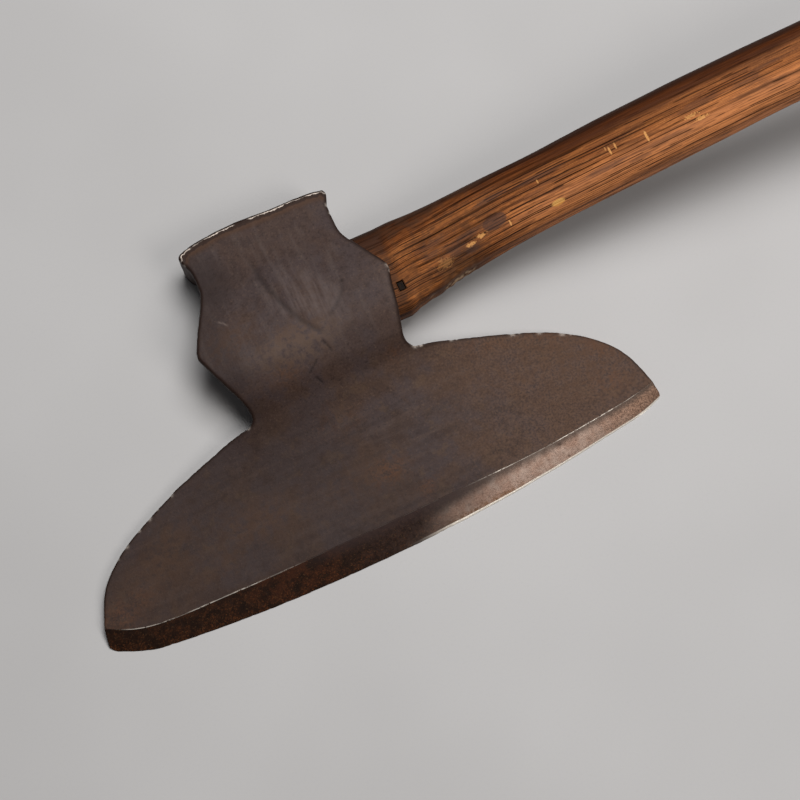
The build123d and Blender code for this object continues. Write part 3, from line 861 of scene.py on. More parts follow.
# soft patches of colour: x, y, half length, half width, turn in degrees, strength
RUST_SPOTS = [
    (11, -95, 9, 6, 0, 1.0), (26, -111.5, 6, 4, 20, 0.7), (39, -42, 4, 5, 60, 0.6),
    (-18, -31, 6, 4.5, 0, 0.6), (142, -80, 9, 6, -40, 0.9), (139, -99, 8, 6, 0, 0.9),
    (86, -54, 14, 4, -15, 0.5), (119, -64, 14, 5, -25, 0.5), (-148, -107, 10, 8, 0, 0.9),
    (-136, -103, 9, 6, 0, 0.5), (-2, -60, 16, 9, 0, 0.25)]
WARM_SPOTS = [
    (128, -82, 42, 24, -25, 1.0), (76, -68, 34, 16, 0, 0.55), (-115, -88, 26, 14, 30, 0.7),
    (-63, -92, 30, 13, 0, 0.65), (-20, -31, 30, 9, 0, 0.5), (-36, -4, 16, 12, 0, 0.7),
    (-5, -12, 20, 8, 0, 0.6), (-88, -104, 26, 8, 15, 0.5), (0, -92, 30, 12, 0, 0.5),
    (12, 4, 14, 10, -60, 0.3), (58, -98, 22, 8, 0, 0.4)]


def blooms(verts, spots):
    mask = np.zeros(len(verts))
    for x, y, half_l, half_w, turn, strength in spots:
        c, s = math.cos(math.radians(turn)), math.sin(math.radians(turn))
        dx, dy = verts[:, 0] - x, verts[:, 1] - y
        u, v = (dx * c + dy * s) / half_l, (dy * c - dx * s) / half_w
        mask = np.maximum(mask, strength * np.exp(-(u * u + v * v)))
    return mask


poll_in, poll_window = poll_coord(head_v[:, :2])
head_piece = make_mesh("head_forging", head_v, head_f, {
    "poll_in": np.where((poll_window > 0.02) & (up > 0.5), np.minimum(poll_in, 12.0), 12.0),
    "ridge_in": np.where(up > 0.9, np.clip(ridge_gap, 0, 8), 8.0),
    "rust": blooms(head_v, RUST_SPOTS), "warm": blooms(head_v, WARM_SPOTS),
    "dark": dark, "light": light, "crest": crest, "rim": np.clip(rim, 0, 1) * meet,
    "nick": np.clip(nick * (rim > 0.05), 0, 1), "ridge": ridge_rim})

# ------------------------------------------------------------------- steel bit ----
TONGUE_TOP = 2.97  # just under the iron

front_r = add_beside(shoulder_r[tongue_at_r:], tongue_to_ridge, -SEAM_GAP)
front_l = add_beside(shoulder_l[:tongue_at_l + 1], ridge_at_l, SEAM_GAP)
bit_round = chain(front_r, toe_r, edge, toe_l, front_l)
bit_ridge_r = tongue_to_ridge + 1
bit_ridge_l = len(bit_round) - len(front_l) + ridge_at_l
bit_loop = np.vstack([bit_round,
                      seam(tongue_y, tongue_end_l[0], tongue_end_r[0], 1.6, -0.03)])
bit_loop_count = len(bit_loop)
front = np.zeros(bit_loop_count, bool)
front[bit_ridge_r:bit_ridge_l + 1] = True


def bit_rim_z(x, y):
    return np.where(front, bevel_shape(x, y)[0], TONGUE_TOP)


def bit_top_z(x, y):
    return np.where(y < ridge_y(x) - 0.015, bevel_shape(x, y)[0], TONGUE_TOP)


def bit_cloud(low, high):
    """Fine points on the bevel, coarse ones on the tongue."""
    fine = hex_points(low, high, 0.72, 14)
    coarse = hex_points(low, high, 2.4, 15)
    return np.vstack([fine[from_ridge(fine) < -0.35], coarse[from_ridge(coarse) > 1.2]])


edge_height = bit_rim_z(bit_loop[:, 0], bit_loop[:, 1])
bit_s = lengths(bit_loop)
from_ends = np.minimum(np.abs(bit_s - bit_s[bit_ridge_r]), np.abs(bit_s - bit_s[bit_ridge_l]))
r_top = np.where(front, np.clip(0.16 * edge_height, 0.02, 0.62), 0.02)
r_top = 0.16 + (r_top - 0.16) * smooth(0, 3.0, from_ends)
r_bottom = np.where(front, np.clip(0.08 * edge_height, 0.02, 0.35), 0.05)
r_bottom = 0.05 + (r_bottom - 0.05) * smooth(0, 3.0, from_ends)
ridge_seam = seam(ridge_y, ridge_end_r[0] - 1.1, ridge_end_l[0] + 1.1, STEP)
bit_v, bit_f, bit_parts = plate(
    bit_loop, rim_z=bit_rim_z, top_z=bit_top_z, bottom_edge=np.zeros(bit_loop_count),
    bottom_z=lambda x, y: np.zeros(len(x)), r_top=r_top, r_bottom=r_bottom,
    insets=(0.3, 0.65), wall_step=1.2, top_cloud=bit_cloud,
    bottom_cloud=lambda low, high: hex_points(low, high, 1.5, 16),
    normals=soft_normals(bit_loop, 40),
    top_seams=[(bit_ridge_r, ridge_seam + [0, -0.03], bit_ridge_l),
               (bit_ridge_r - 1, ridge_seam, bit_ridge_l + 1)])

# grinding marks and pits on the bevel
up, rim, _ = plate_weights(bit_parts, len(bit_v))
ridge_gap = ridge_y(bit_v[:, 0]) - bit_v[:, 1]
is_bevel = (up > 0.5) & (ridge_gap > 0.0) & (bit_v[:, 2] > 0.05)
across = np.clip(bevel_shape(bit_v[:, 0], bit_v[:, 1])[1], 0, 1.2)
flat_at = flattened(bit_v)
away = smooth(0.0, 2.5, ridge_gap) * smooth(0.02, 0.25, across)
pits = smooth(0.62, 0.92, noise(flat_at, 2.3, 53)) * smooth(-0.4, 0.4, fbm(flat_at, 26, 2, 54))
relief = (0.055 * fbm(flat_at, 16, 2, 51) + 0.028 * fbm(flat_at, 3.4, 2, 52)
          + 0.012 * noise(flat_at, (30.0, 0.9, 1.0), 50) - 0.09 * pits)
bit_v[:, 2] += np.where(is_bevel, relief * away, 0)
# tiny chips along the cutting edge, and a slight waver in its line
for x, y, half, deep in random_nicks(9, edge, 26, (0.5, 1.3), (0.05, 0.18)):
    bit_v[:, 1] += bell(np.linalg.norm(bit_v[:, :2] - (x, y), axis=1), half) * deep
wobble = 0.10 * noise(flat_at, 9.0, 55) + 0.05 * noise(flat_at, 3.2, 56)
bit_v[:, 1] += (np.where(across < 0.4, wobble * (1 - smooth(0.0, 0.4, across)), 0)
                * (bit_v[:, 1] < ridge_y(bit_v[:, 0]) - 1))
# pits on the flat side
under = (up < 0.01) & (np.abs(bit_v[:, 2]) < 0.02)
at = bit_v[under]
bit_v[under, 2] += ((0.02 + 0.06 * smooth(0.45, 0.9, noise(at, 4.0, 31)))
                    * smooth(0.0, 3.0, at[:, 1] - edge_y(at[:, 0])))
bit_piece = make_mesh("bit_laid_steel", bit_v, bit_f, {
    "across": across, "pit": np.where(is_bevel, pits * away, 0),
    "honed": np.clip(1 - across / 0.05, 0, 1) * is_bevel,
    "ridge": bell(ridge_gap, 0.45) * is_bevel, "rim": np.clip(rim, 0, 1)}, sharp=35)

# ------------------------------------------------------------------------ haft ----
HAFT = np.array([  # x, centre y, centre z, width, thickness, corner radius
    (57.0, 0.9, 17.4, 50.7, 21.7, 7.85), (64.0, 1.8, 18.6, 48.6, 22.6, 7.9),
    (76.0, 2.2, 20.4, 45.6, 24.0, 8.0), (92.0, 3.3, 22.5, 42.2, 25.4, 8.4),
    (115.0, 4.5, 26.8, 40.0, 26.2, 9.0), (140.0, 4.8, 31.8, 38.6, 26.6, 9.6),
    (172.0, 4.6, 38.8, 38.6, 26.8, 10.0), (204.0, 4.5, 45.4, 38.8, 26.8, 10.2),
    (250.0, 4.4, 53.2, 38.4, 26.6, 10.4), (310.0, 4.4, 60.6, 37.4, 26.4, 10.8),
    (380.0, 4.4, 66.6, 36.6, 26.6, 11.2), (450.0, 4.4, 69.8, 36.6, 27.2, 11.6),
    (510.0, 4.4, 71.4, 38.6, 28.2, 12.0), (550.0, 4.4, 72.0, 42.6, 30.0, 12.6),
    (574.0, 4.4, 72.2, 44.6, 31.2, 13.0), (586.0, 4.4, 72.2, 42.4, 29.4, 12.6),
    (590.0, 4.4, 72.2, 37.6, 24.8, 11.0)])
HAFT_END, HAFT_TIP = -43.0, 590.0  # x of the end in the eye and of the far end
HAFT_POINTS = 252                  # points round the haft
EYE_FIT = 0.12                     # gap between haft and eye
# cracks: start x, length, y across, side (1 upper, -1 under, 0 edges), drift, depth, half width
CRACKS = [
    (66, 96, 12.0, 1, -1.2, 0.75, 0.42), (60, 74, 3.5, 1, -1.0, 0.65, 0.42),
    (76, 60, -3.2, 1, -0.6, 0.60, 0.40), (61, 44, -8.5, 1, -0.8, 0.55, 0.40),
    (120, 80, 8.8, 1, -1.4, 0.55, 0.40), (140, 92, -4.0, 1, -1.6, 0.50, 0.38),
    (96, 70, 15.2, 1, -0.6, 0.50, 0.40), (62, 30, 18.6, 1, -0.4, 0.50, 0.40),
    (150, 70, 3.0, 1, -1.0, 0.40, 0.36), (205, 90, 9.0, 1, -0.8, 0.40, 0.36),
    (215, 70, -8.0, 1, -0.8, 0.40, 0.36), (66, 34, -15.5, 1, 0.4, 0.45, 0.38)]
rng = np.random.default_rng(21)
for n in range(150):  # finer ones, denser near the head
    start = rng.uniform(56, 320) if n < 95 else rng.uniform(300, 560)
    CRACKS.append((start, rng.uniform(12, 62), rng.uniform(-19, 19), rng.choice([1, 1, -1, 0]),
                   rng.uniform(-1.5, 0.5), rng.uniform(0.08, 0.24), rng.uniform(0.26, 0.34)))
CHIPS = [  # splinters off the lower -Y arris: x, half length, depth
    (80.5, 2.6, 0.9), (86.5, 3.0, 1.5), (92.5, 2.4, 0.9), (97.0, 1.6, 0.5), (71.0, 2.6, 0.45),
    (63.0, 1.6, 0.35)]
# on the upper face: x, y, half length, half width, strength
BRUISES = [(183.5, -2.3, 0.50, 2.3, 0.9), (187.0, -1.3, 0.45, 1.8, 0.8),
           (181.8, -0.2, 0.35, 1.0, 0.5), (203.5, -4.4, 0.65, 3.3, 0.9),
           (228.0, -5.3, 3.4, 0.9, 0.7), (233.0, -8.8, 3.0, 1.0, 0.8),
           (143.5, 0.7, 0.45, 1.3, 0.7), (121.6, -12.6, 0.45, 1.5, 0.9),
           (105.2, -10.9, 2.2, 1.0, 0.8), (98.6, -12.3, 2.6, 0.9, 0.75),
           (82.5, -14.0, 3.8, 2.4, 0.22)]


def haft_section(x):
    """Centre y and z, width, thickness and corner radius at x."""
    if x >= 57.0:
        return curve_at(HAFT[:, 0], HAFT[:, 1:], np.array([x]))[0]
    w, h = eye_size(x)
    k = max(0.0, min(1.0, (x - 40.0) / 17.0))
    return np.array([EYE_Y + k * (0.9 - EYE_Y), EYE_Z, w - 2 * EYE_FIT - 0.06 * k,
                     h - 2 * EYE_FIT - 0.06 * k, EYE_R - EYE_FIT])


haft_x = np.r_[np.arange(HAFT_END, 36.0, 3.0), np.arange(36.0, 200.0, 1.0),
               np.arange(200.0, 330.0, 1.25), np.arange(330.0, HAFT_TIP - 6.5, 3.3),
               HAFT_TIP - np.array([6, 5, 4, 3.1, 2.3, 1.6, 1.0, 0.5, 0.0])]
sections = np.array([haft_section(float(x)) for x in haft_x])
centre = np.c_[haft_x, sections[:, :2]]
haft_grid = np.array([
    np.c_[np.full(HAFT_POINTS, x), rounded_rect(w, h, r, HAFT_POINTS) + (y, z)]
    for x, (y, z, w, h, r) in zip(haft_x, sections)])
straight = haft_grid - (centre * (0, 1, 1))[:, None, :]  # the haft without its curve
round_step = np.roll(haft_grid, -1, 1) - np.roll(haft_grid, 1, 1)
normal = np.cross(np.gradient(haft_grid, axis=0), round_step)
normal /= np.maximum(np.linalg.norm(normal, axis=2, keepdims=True), 1e-9)
if np.sum(normal[:, :, 1:] * straight[:, :, 1:]) < 0:
    normal = -normal
normal = normal.reshape(-1, 3)
straight = straight.reshape(-1, 3)
along_x, local_y, local_z = straight.T
facing_y, facing_z = normal[:, 1], normal[:, 2]

# the grain runs along the haft and wanders a little
warp = 1.6 * noise(straight, (60, 25, 25), 60)
grain_at = np.c_[along_x, local_y + warp + 0.022 * (along_x - 60), local_z + 0.6 * warp]
weather = 1 - smooth(130, 230, along_x)  # rougher near the head
grain = noise(grain_at, (34, 1.5, 1.5), 61)
rough = 0.085 * grain + 0.04 * noise(grain_at, (14, 0.8, 0.8), 62)
shave = 0.35 * fbm(straight, (46, 17, 17), 2, 63)
lift = rough * (0.55 + 0.9 * weather) + shave * smooth(58, 80, along_x)

crack = np.zeros(len(along_x))
crack_mask = np.zeros(len(along_x))
wave = 0.45 * noise(grain_at, (18, 9, 9), 64)
for start, length, place, side, drift, deep, half in CRACKS:
    t = (along_x - start) / length
    idx = np.nonzero((t > -0.02) & (t < 1.02))[0]
    t = t[idx]
    if side == 0:
        place_across, place = local_z[idx], place * 0.45
        on_side = np.abs(facing_z[idx]) < 0.75
    else:
        place_across = local_y[idx]
        on_side = facing_z[idx] * side > 0.25
    dist = place_across + wave[idx] - (place + drift * t)
    mark = bell(dist, half) * np.clip(4 * t * (1 - t) * 1.6, 0, 1) * on_side
    crack[idx] = np.maximum(crack[idx], mark * deep)
    crack_mask[idx] = np.maximum(crack_mask[idx], mark * min(1.0, deep * 1.9))
lift -= crack

chip = sum(deep * bell(along_x - x, half) for x, half, deep in CHIPS)
chip = (chip * (smooth(-16.0, -19.0, local_y) * smooth(-12.0, -7.0, local_z))
        * (0.7 + 0.5 * noise(grain_at, (2.2, 2.0, 2.0), 65)))
lift -= chip


def spot(x, y, half_l, half_w):
    return (np.exp(-(((along_x - x) / half_l) ** 2 + ((local_y - y) / half_w) ** 2) ** 2)
            * (facing_z > 0.2))


dent = np.zeros(len(along_x))
for x, y, half_l, half_w, strength in BRUISES:
    dent = np.maximum(dent, strength * spot(x, y, half_l + 0.3, half_w + 0.3))
lift -= 0.22 * dent + 0.16 * spot(148.5, -14.2, 4.4, 2.4)
lift *= smooth(54.5, 57.5, along_x)  # true to the eye inside the head
lift *= smooth(HAFT_TIP - 1.0, HAFT_TIP - 8.0, along_x)
skin = haft_grid.reshape(-1, 3) + normal * lift[:, None]
# mask for painted shade on faces turned from the light: the rounded +Y side and the underside
shade_side_mask = np.maximum(smooth(0.12, 0.70, facing_y), smooth(0.25, -0.35, facing_z) * 0.8)
torn = (smooth(0.15, 0.5, chip) * bell(local_z + 2.0, 2.6)
        * smooth(-0.25, 0.15, noise(straight, (1.6, 2, 2), 67)))

haft_v, haft_f, haft_at = [skin], [], [straight]
for row in range(len(haft_x) - 1):
    a, b = row * HAFT_POINTS, (row + 1) * HAFT_POINTS
    for i in range(HAFT_POINTS):
        j = (i + 1) % HAFT_POINTS
        haft_f.append((a + j, b + j, b + i, a + i))
haft_count = len(skin)
# both ends are closed by shrinking rings and a centre point
for row, x, hollow in ((0, HAFT_END, 0.10), (len(haft_x) - 1, HAFT_TIP, -0.10)):
    turn = -1 if row == 0 else 1
    outer = np.arange(row * HAFT_POINTS, (row + 1) * HAFT_POINTS)
    middle = centre[row]
    previous = outer
    for shrink in (0.94, 0.84, 0.70, 0.52, 0.32, 0.14):
        ring = middle + (skin[outer] - middle) * shrink
        ring[:, 0] = x + hollow * np.abs(noise(ring, 2.2, 70)) * (1 - shrink)
        haft_v.append(ring)
        haft_at.append(np.c_[np.full(HAFT_POINTS, x), (ring - middle)[:, 1:]])
        current = np.arange(haft_count, haft_count + HAFT_POINTS)
        haft_count += HAFT_POINTS
        for i in range(HAFT_POINTS):
            j = (i + 1) % HAFT_POINTS
            haft_f.append((previous[i], previous[j], current[j], current[i])[::turn])
        previous = current
    haft_v.append(middle[None])
    haft_at.append(np.array([[x, 0.0, 0.0]]))
    for i in range(HAFT_POINTS):
        haft_f.append((previous[i], previous[(i + 1) % HAFT_POINTS], haft_count)[::turn])
    haft_count += 1

# the edge attribute carries the mask for painted shade on faces turned from the light
haft_attrs = {"crack": crack_mask, "valley": smooth(0.15, 0.85, -grain), "edge": shade_side_mask,
              "arris": torn, "chip": np.clip(chip, 0, 1)}
haft_attrs = {name: np.r_[values, np.zeros(haft_count - len(values))]
              for name, values in haft_attrs.items()}
haft_attrs.update(zip(("gx", "gy", "gz"), np.vstack(haft_at).T))
haft_piece = make_mesh("haft_wood", np.vstack(haft_v), haft_f, haft_attrs)


# --------------------------------------------------- wedges, nail and their seats ----
def apply_modifiers(ob):
    graph = bpy.context.evaluated_depsgraph_get()
    mesh = bpy.data.meshes.new_from_object(ob.evaluated_get(graph))
    ob.modifiers.clear()
    ob.data = mesh


def around(middle, half):
    return middle - half, middle + half


def cut_box(ob, name, x_span, y_span, z_span, far_y=None, far_z=None):
    """Cuts a box out of an object; far_y and far_z are its spans at the +X end."""
    x0, x1 = x_span
    (y0, y1), (z0, z1) = y_span, z_span
    (v0, v1), (w0, w1) = far_y or y_span, far_z or z_span
    corners = [(x0, y0, z0), (x0, y1, z0), (x0, y1, z1), (x0, y0, z1),
               (x1, v0, w0), (x1, v1, w0), (x1, v1, w1), (x1, v0, w1)]
    sides = [(0, 1, 2, 3), (7, 6, 5, 4), (0, 4, 5, 1), (1, 5, 6, 2), (2, 6, 7, 3), (3, 7, 4, 0)]
    bm = bmesh.new()
    points = [bm.verts.new(Vector(corner) * MM) for corner in corners]
    for side in sides:
        bm.faces.new([points[i] for i in side])
    bmesh.ops.recalc_face_normals(bm, faces=bm.faces)
    mesh = bpy.data.meshes.new(name)
    bm.to_mesh(mesh)
    bm.free()
    cutter = link(name, mesh)
    mod = ob.modifiers.new("cut", "BOOLEAN")
    mod.operation = "DIFFERENCE"
    mod.solver = "EXACT"
    mod.object = cutter
    apply_modifiers(ob)
    bpy.data.objects.remove(cutter, do_unlink=True)


# seats of the wooden wedge and of the two iron wedges across it
cut_box(haft_piece, "c1", (HAFT_END - 0.5, 12.2), around(EYE_Y, 22.6), around(EYE_Z, 2.58),
        far_z=around(EYE_Z, 0.42))
for n, y in enumerate((13.5, -11.5)):
    cut_box(haft_piece, f"c2{n}", (HAFT_END - 0.5, -13.8), around(y, 1.88),
            around(EYE_Z, 8.6), far_y=around(y, 0.32))
# seats of the nail's head and shank
nail_low, nail_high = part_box("cut_nail")
nail_x, nail_y, _ = (nail_low + nail_high) / 2 / MM
nail_top = nail_high.z / MM
cut_box(haft_piece, "c3", around(nail_x, 1.95), around(nail_y, 2.75),
        (nail_top - 1.45, nail_top + 4.0))
cut_box(haft_piece, "c4", around(nail_x, 1.25), around(nail_y, 1.25),
        (nail_top - 15.2, nail_top - 1.0))


def cad_copy(node, name, voxel, relief, smooth_times=2):
    """A dense copy of a small CAD solid, with worn corners and a relief on its skin."""
    ob = link(name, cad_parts[node].data.copy())
    mod = ob.modifiers.new("remesh", "REMESH")
    mod.mode = "VOXEL"
    mod.voxel_size = voxel * MM
    mod.use_smooth_shade = True
    apply_modifiers(ob)
    mesh = ob.data
    mesh.materials.clear()
    bm = bmesh.new()
    bm.from_mesh(mesh)
    for _ in range(smooth_times):
        bmesh.ops.smooth_vert(bm, verts=bm.verts, factor=0.5, use_axis_x=True, use_axis_y=True,
                              use_axis_z=True)
    bm.normal_update()
    places = np.array([v.co for v in bm.verts]) / MM
    normals = np.array([v.normal for v in bm.verts])
    places += normals * (relief(places) - 0.03)[:, None]
    for vert, place in zip(bm.verts, places):
        vert.co = Vector(place) * MM
    bm.to_mesh(mesh)
    bm.free()
    mesh.shade_smooth()
    return ob


def fibrous(points):
    end = smooth(HAFT_END + 2.5, HAFT_END, points[:, 0])
    return 0.10 * noise(points, (20, 0.9, 0.9), 80) + end * 0.28 * fbm(points, 2.6, 2, 81)


def hammered(points):
    end = smooth(HAFT_END + 2.0, HAFT_END, points[:, 0])
    return 0.07 * fbm(points, 3.0, 2, 82) + end * (0.22 * fbm(points, 3.4, 2, 83) - 0.05)


def nail_skin(points):
    return 0.07 * fbm(points, 1.3, 2, 84)


wedge_piece = cad_copy("wooden_wedge", "wedge_wood", voxel=0.5, relief=fibrous)
iron_piece = cad_copy("iron_cross_wedges", "wedges_iron", voxel=0.4, relief=hammered)
nail_piece = cad_copy("cut_nail", "nail_square_cut", voxel=0.22, relief=nail_skin,
                      smooth_times=1)
haft_piece.data.shade_smooth()
haft_piece.data.set_sharp_from_angle(angle=math.radians(60))


# -------------------------------------------------------------- material helpers ----
def rgb(color):
    """A display colour 0..255 as a linear RGBA."""
    def linear(c):
        c /= 255.0
        return c / 12.92 if c <= 0.04045 else ((c + 0.055) / 1.055) ** 2.4
    return (*map(linear, color), 1.0)


def add_node(tree, kind, inputs, output=0, **settings):
    """Adds a shader node with its settings and inputs, and returns one of its outputs."""
    node = tree.nodes.new("ShaderNode" + kind)
    for key, value in settings.items():
        setattr(node, key, value)
    for key, value in inputs.items():
        plug(tree, node.inputs[key], value)
    return Value(tree, node.outputs[output])


def plug(tree, socket, value):
    if isinstance(value, Value):
        tree.links.new(value.socket, socket)
    else:
        socket.default_value = value


def math_method(operation, swapped=False):
    """A method that adds a Math node on the value and any other operand."""
    def method(self, *others):
        operands = (self, *others)[::-1 if swapped else 1]
        return add_node(self.tree, "Math", dict(enumerate(operands)), operation=operation)
    return method


class Value:
    """An output socket in a node tree; arithmetic on it adds nodes."""

    def __init__(self, tree, socket):
        self.tree, self.socket = tree, socket

    __add__ = math_method("ADD")
    __radd__ = math_method("ADD", swapped=True)
    __sub__ = math_method("SUBTRACT")
    __rsub__ = math_method("SUBTRACT", swapped=True)
    __mul__ = math_method("MULTIPLY")
    __abs__ = math_method("ABSOLUTE")
    max = math_method("MAXIMUM")
    floor = math_method("FLOOR")
    fract = math_method("FRACT")
    sqrt = math_method("SQRT")

    def ramp(self, start, end, low=0.0, high=1.0):
        """Goes smoothly from low to high as the value goes from start to end."""
        return add_node(self.tree, "MapRange", dict(enumerate((self, start, end, low, high))),
                        interpolation_type="SMOOTHSTEP")

    def lerp(self, low, high):
        """low where the value is 0, high where it is 1."""
        return add_node(self.tree, "Mix", {0: self, 2: low, 3: high}, data_type="FLOAT")

    def mix(self, low, high):
        """As lerp, for colours; a plain tuple is a display colour 0..255."""
        low, high = (rgb(c) if isinstance(c, tuple) else c for c in (low, high))
        return add_node(self.tree, "Mix", {0: self, 6: low, 7: high}, output=2,
                        data_type="RGBA")

    def coats(self, *layers):
        """Lays colours over this one in turn; each layer is (colour, opacity)."""
        color = self
        for coat, opacity in layers:
            color = opacity.mix(color, coat)
        return color

    def split(self):
        """The x, y and z of a vector."""
        xyz = add_node(self.tree, "SeparateXYZ", {0: self}).socket.node
        return [Value(self.tree, socket) for socket in xyz.outputs]


class Material:
    """A node material with one Principled shader; place is the position in millimetres."""

    def __init__(self, name):
        self.data = bpy.data.materials.new(name)
        self.data.use_nodes = True
        self.tree = self.data.node_tree
        self.tree.nodes.clear()
        output = self.tree.nodes.new("ShaderNodeOutputMaterial")
        self.shader = self.tree.nodes.new("ShaderNodeBsdfPrincipled")
        self.tree.links.new(self.shader.outputs[0], output.inputs["Surface"])
        self.place = self.node("VectorMath", {0: self.node("TexCoord", {}, output="Object"),
                                              "Scale": 1 / MM}, operation="SCALE")

    def node(self, kind, inputs, **settings):
        return add_node(self.tree, kind, inputs, **settings)

    def vector(self, x, y, z):
        return self.node("CombineXYZ", {0: x, 1: y, 2: z})

    def attr(self, name):
        return self.node("Attribute", {}, output="Fac", attribute_name=name)

    def normal(self):
        return self.node("NewGeometry", {}, output="Normal").split()

    def noise(self, size, detail=3, rough=0.55, at=None, distort=0.0):
        """Noise with features of the given size in mm, one number or one per axis."""
        at = at or self.place
        if isinstance(size, tuple):
            stretch = tuple(1 / s for s in size)
            at = self.node("VectorMath", {0: at, 1: stretch}, operation="MULTIPLY")
            size = 1.0
        return self.node("TexNoise", {"Vector": at, "Scale": 1.0 / size, "Detail": detail,
                                      "Roughness": rough, "Distortion": distort}, output="Fac")

    def bump(self, height, depth, strength, under=None):
        """A normal bumped by height, depth in mm, on top of another normal if given."""
        inputs = {"Strength": strength, "Distance": depth * MM, "Height": height}
        if under is not None:
            inputs["Normal"] = under
        return self.node("Bump", inputs)

    def finish(self, color, rough, normal, spec, metal=0.0):
        for key, value in (("Base Color", color), ("Roughness", rough), ("Metallic", metal),
                           ("Specular IOR Level", spec), ("Normal", normal)):
            plug(self.tree, self.shader.inputs[key], value)
        return self.data


# In the materials below, ramp(start, end) turns noise or a position in mm into a 0..1
# mask, and the plain factor in each layer's product is that layer's strength.
def ridge_wear_and_glint(mat, x, lowest):
    """Masks for the bright line on the ridge, worn metal with a painted highlight: its two
    outer stretches, and how unevenly it shows.
    """
    outer = x.ramp(-156, -140) * x.ramp(-46, -78) + x.ramp(40, 60) * x.ramp(152, 136)
    worn = mat.noise(17, detail=2, rough=0.5).ramp(0.40, 0.56, lowest, 1.0)
    return outer, worn


# ------------------------------------------------------------------- materials ----
def forged_iron():
    mat = Material("iron_patina")
    x, y, _ = mat.place.split()
    big = mat.noise(44, distort=0.6)
    mid = mat.noise(14, detail=4, rough=0.6)
    small = mat.noise(3.6, detail=4, rough=0.62)
    fine = mat.noise(1.15, rough=0.65)
    down = mat.noise((4.2, 34, 9), rough=0.6)    # streaks along Y
    along = mat.noise((42, 4.6, 9), rough=0.6)   # streaks along X
    neck = y.ramp(-52, -30)

    def soft_ellipse(cx, cy, half_x, half_y, shear=0.0):
        """A soft-edged ellipse, sheared along X."""
        u = (x + y * shear - cx) * (1 / half_x)
        v = (y - cy) * (1 / half_y)
        return (u * u + v * v + mid * 0.9).ramp(2.2, 0.5)

    color = (big * 0.55 + mid * 0.45).ramp(0.44, 0.58).mix((67, 53, 51), (74, 53, 41))
    color = color.coats(
        # mottling, and streaks on the neck and the blade
        ((50, 36, 34), mid.ramp(0.50, 0.66) * 0.50),
        ((88, 66, 48), mat.noise(9, detail=4, rough=0.6).ramp(0.54, 0.68)
         * neck.lerp(0.50, 0.20)),
        ((72, 58, 56), neck * 0.45),
        ((92, 79, 74), down.ramp(0.48, 0.72) * 0.36 * y.ramp(-50, 0)),
        ((86, 68, 60), along.ramp(0.50, 0.70) * 0.40 * y.ramp(-42, -66)),
        ((42, 30, 27), along.ramp(0.48, 0.32) * 0.36 * y.ramp(-42, -66)),
        ((44, 31, 27), small.ramp(0.50, 0.70) * 0.36),
        ((108, 87, 73), fine.ramp(0.54, 0.74) * 0.40),
        ((31, 21, 17), fine.ramp(0.46, 0.30) * 0.50),
        # painted shade: the -X wing is darker, as if less lit; the +X wing is a warmer brown
        ((44, 30, 26), (x + y * 0.6).ramp(0, -70) * y.ramp(-34, -52) * 0.42),
        (fine.ramp(0.35, 0.62).mix((64, 44, 33), (104, 76, 57)),
         (x + big * 40.0).ramp(50, 130) * 0.55),
        # painted sheen: lighter patches in the middle of the neck; painted shade: darker
        # towards -X, and in a patch towards the poll at -X
        ((112, 98, 94), soft_ellipse(8.0, 4.0, 16, 17, shear=0.35) * down.ramp(0.36, 0.60) * 0.34),
        ((112, 91, 76), soft_ellipse(-8.0, -19.0, 26, 10) * small.ramp(0.34, 0.60) * 0.44),
        ((44, 33, 30), (x + mid * 14.0).ramp(-22, -38) * neck * 0.42),
        ((44, 33, 30), soft_ellipse(-33.0, 32.0, 10, 15) * 0.46))

    # brown band under the poll and a darker skin along the outline
    poll_in = mat.attr("poll_in")
    facing_z = mat.normal()[2]
    top = facing_z.ramp(0.05, 0.55)
    color = color.coats(
        ((82, 56, 38), (poll_in + mid * 6.0).ramp(10.5, 7.0) * top * 0.70),
        ((44, 25, 16), (poll_in + small * 3.4 + fine * 1.2).ramp(6.6, 5.4) * top * 0.88),
        ((40, 23, 16), mat.attr("rim") * 0.80),
        # rust, and the marks carried by the mesh
        ((104, 66, 42), mat.attr("rust") * (small + fine * 0.7).ramp(0.72, 1.04) * 0.60),
        ((90, 63, 44), mat.attr("warm") * small.ramp(0.35, 0.6) * 0.50),
        ((30, 21, 18), mat.attr("dark") * 0.85),
        ((122, 106, 98), mat.attr("light") * 0.8))

    # bare metal on the crest of the poll and the nicks, and a bright line on the ridge that is
    # worn metal with a painted highlight
    outer, worn = ridge_wear_and_glint(mat, x, lowest=0.35)
    line = (mat.attr("ridge_in").ramp(0.30, 0.05) * outer * small.ramp(0.40, 0.52)
            * (worn * 0.75))
    jag = poll_in + small * 2.6 + fine * 1.0
    crest = abs(jag - 3.3).ramp(0.40, 0.14) * mat.noise(15, rough=0.6).ramp(0.34, 0.44)
    nicks = mat.attr("nick") * fine.ramp(0.34, 0.50) * facing_z.ramp(-0.1, 0.25, 0.40, 1.2)
    bare_and_glint = (crest * facing_z.ramp(0.15, 0.5) * 0.85).max(nicks.max(line))
    color = color.coats(((196, 182, 170), bare_and_glint))

    grit = fine * 0.5 + small * 0.35 + mat.noise(0.55, detail=2, rough=0.5) * 0.3
    normal = mat.bump(grit, depth=0.20, strength=0.60)
    normal = mat.bump(mid + down * 0.4, depth=0.5, strength=0.30, under=normal)
    return mat.finish(color, rough=bare_and_glint.lerp(0.48 + small * 0.16 + fine * 0.10, 0.36),
                      metal=bare_and_glint.lerp(0.14, 0.45), normal=normal, spec=0.24)


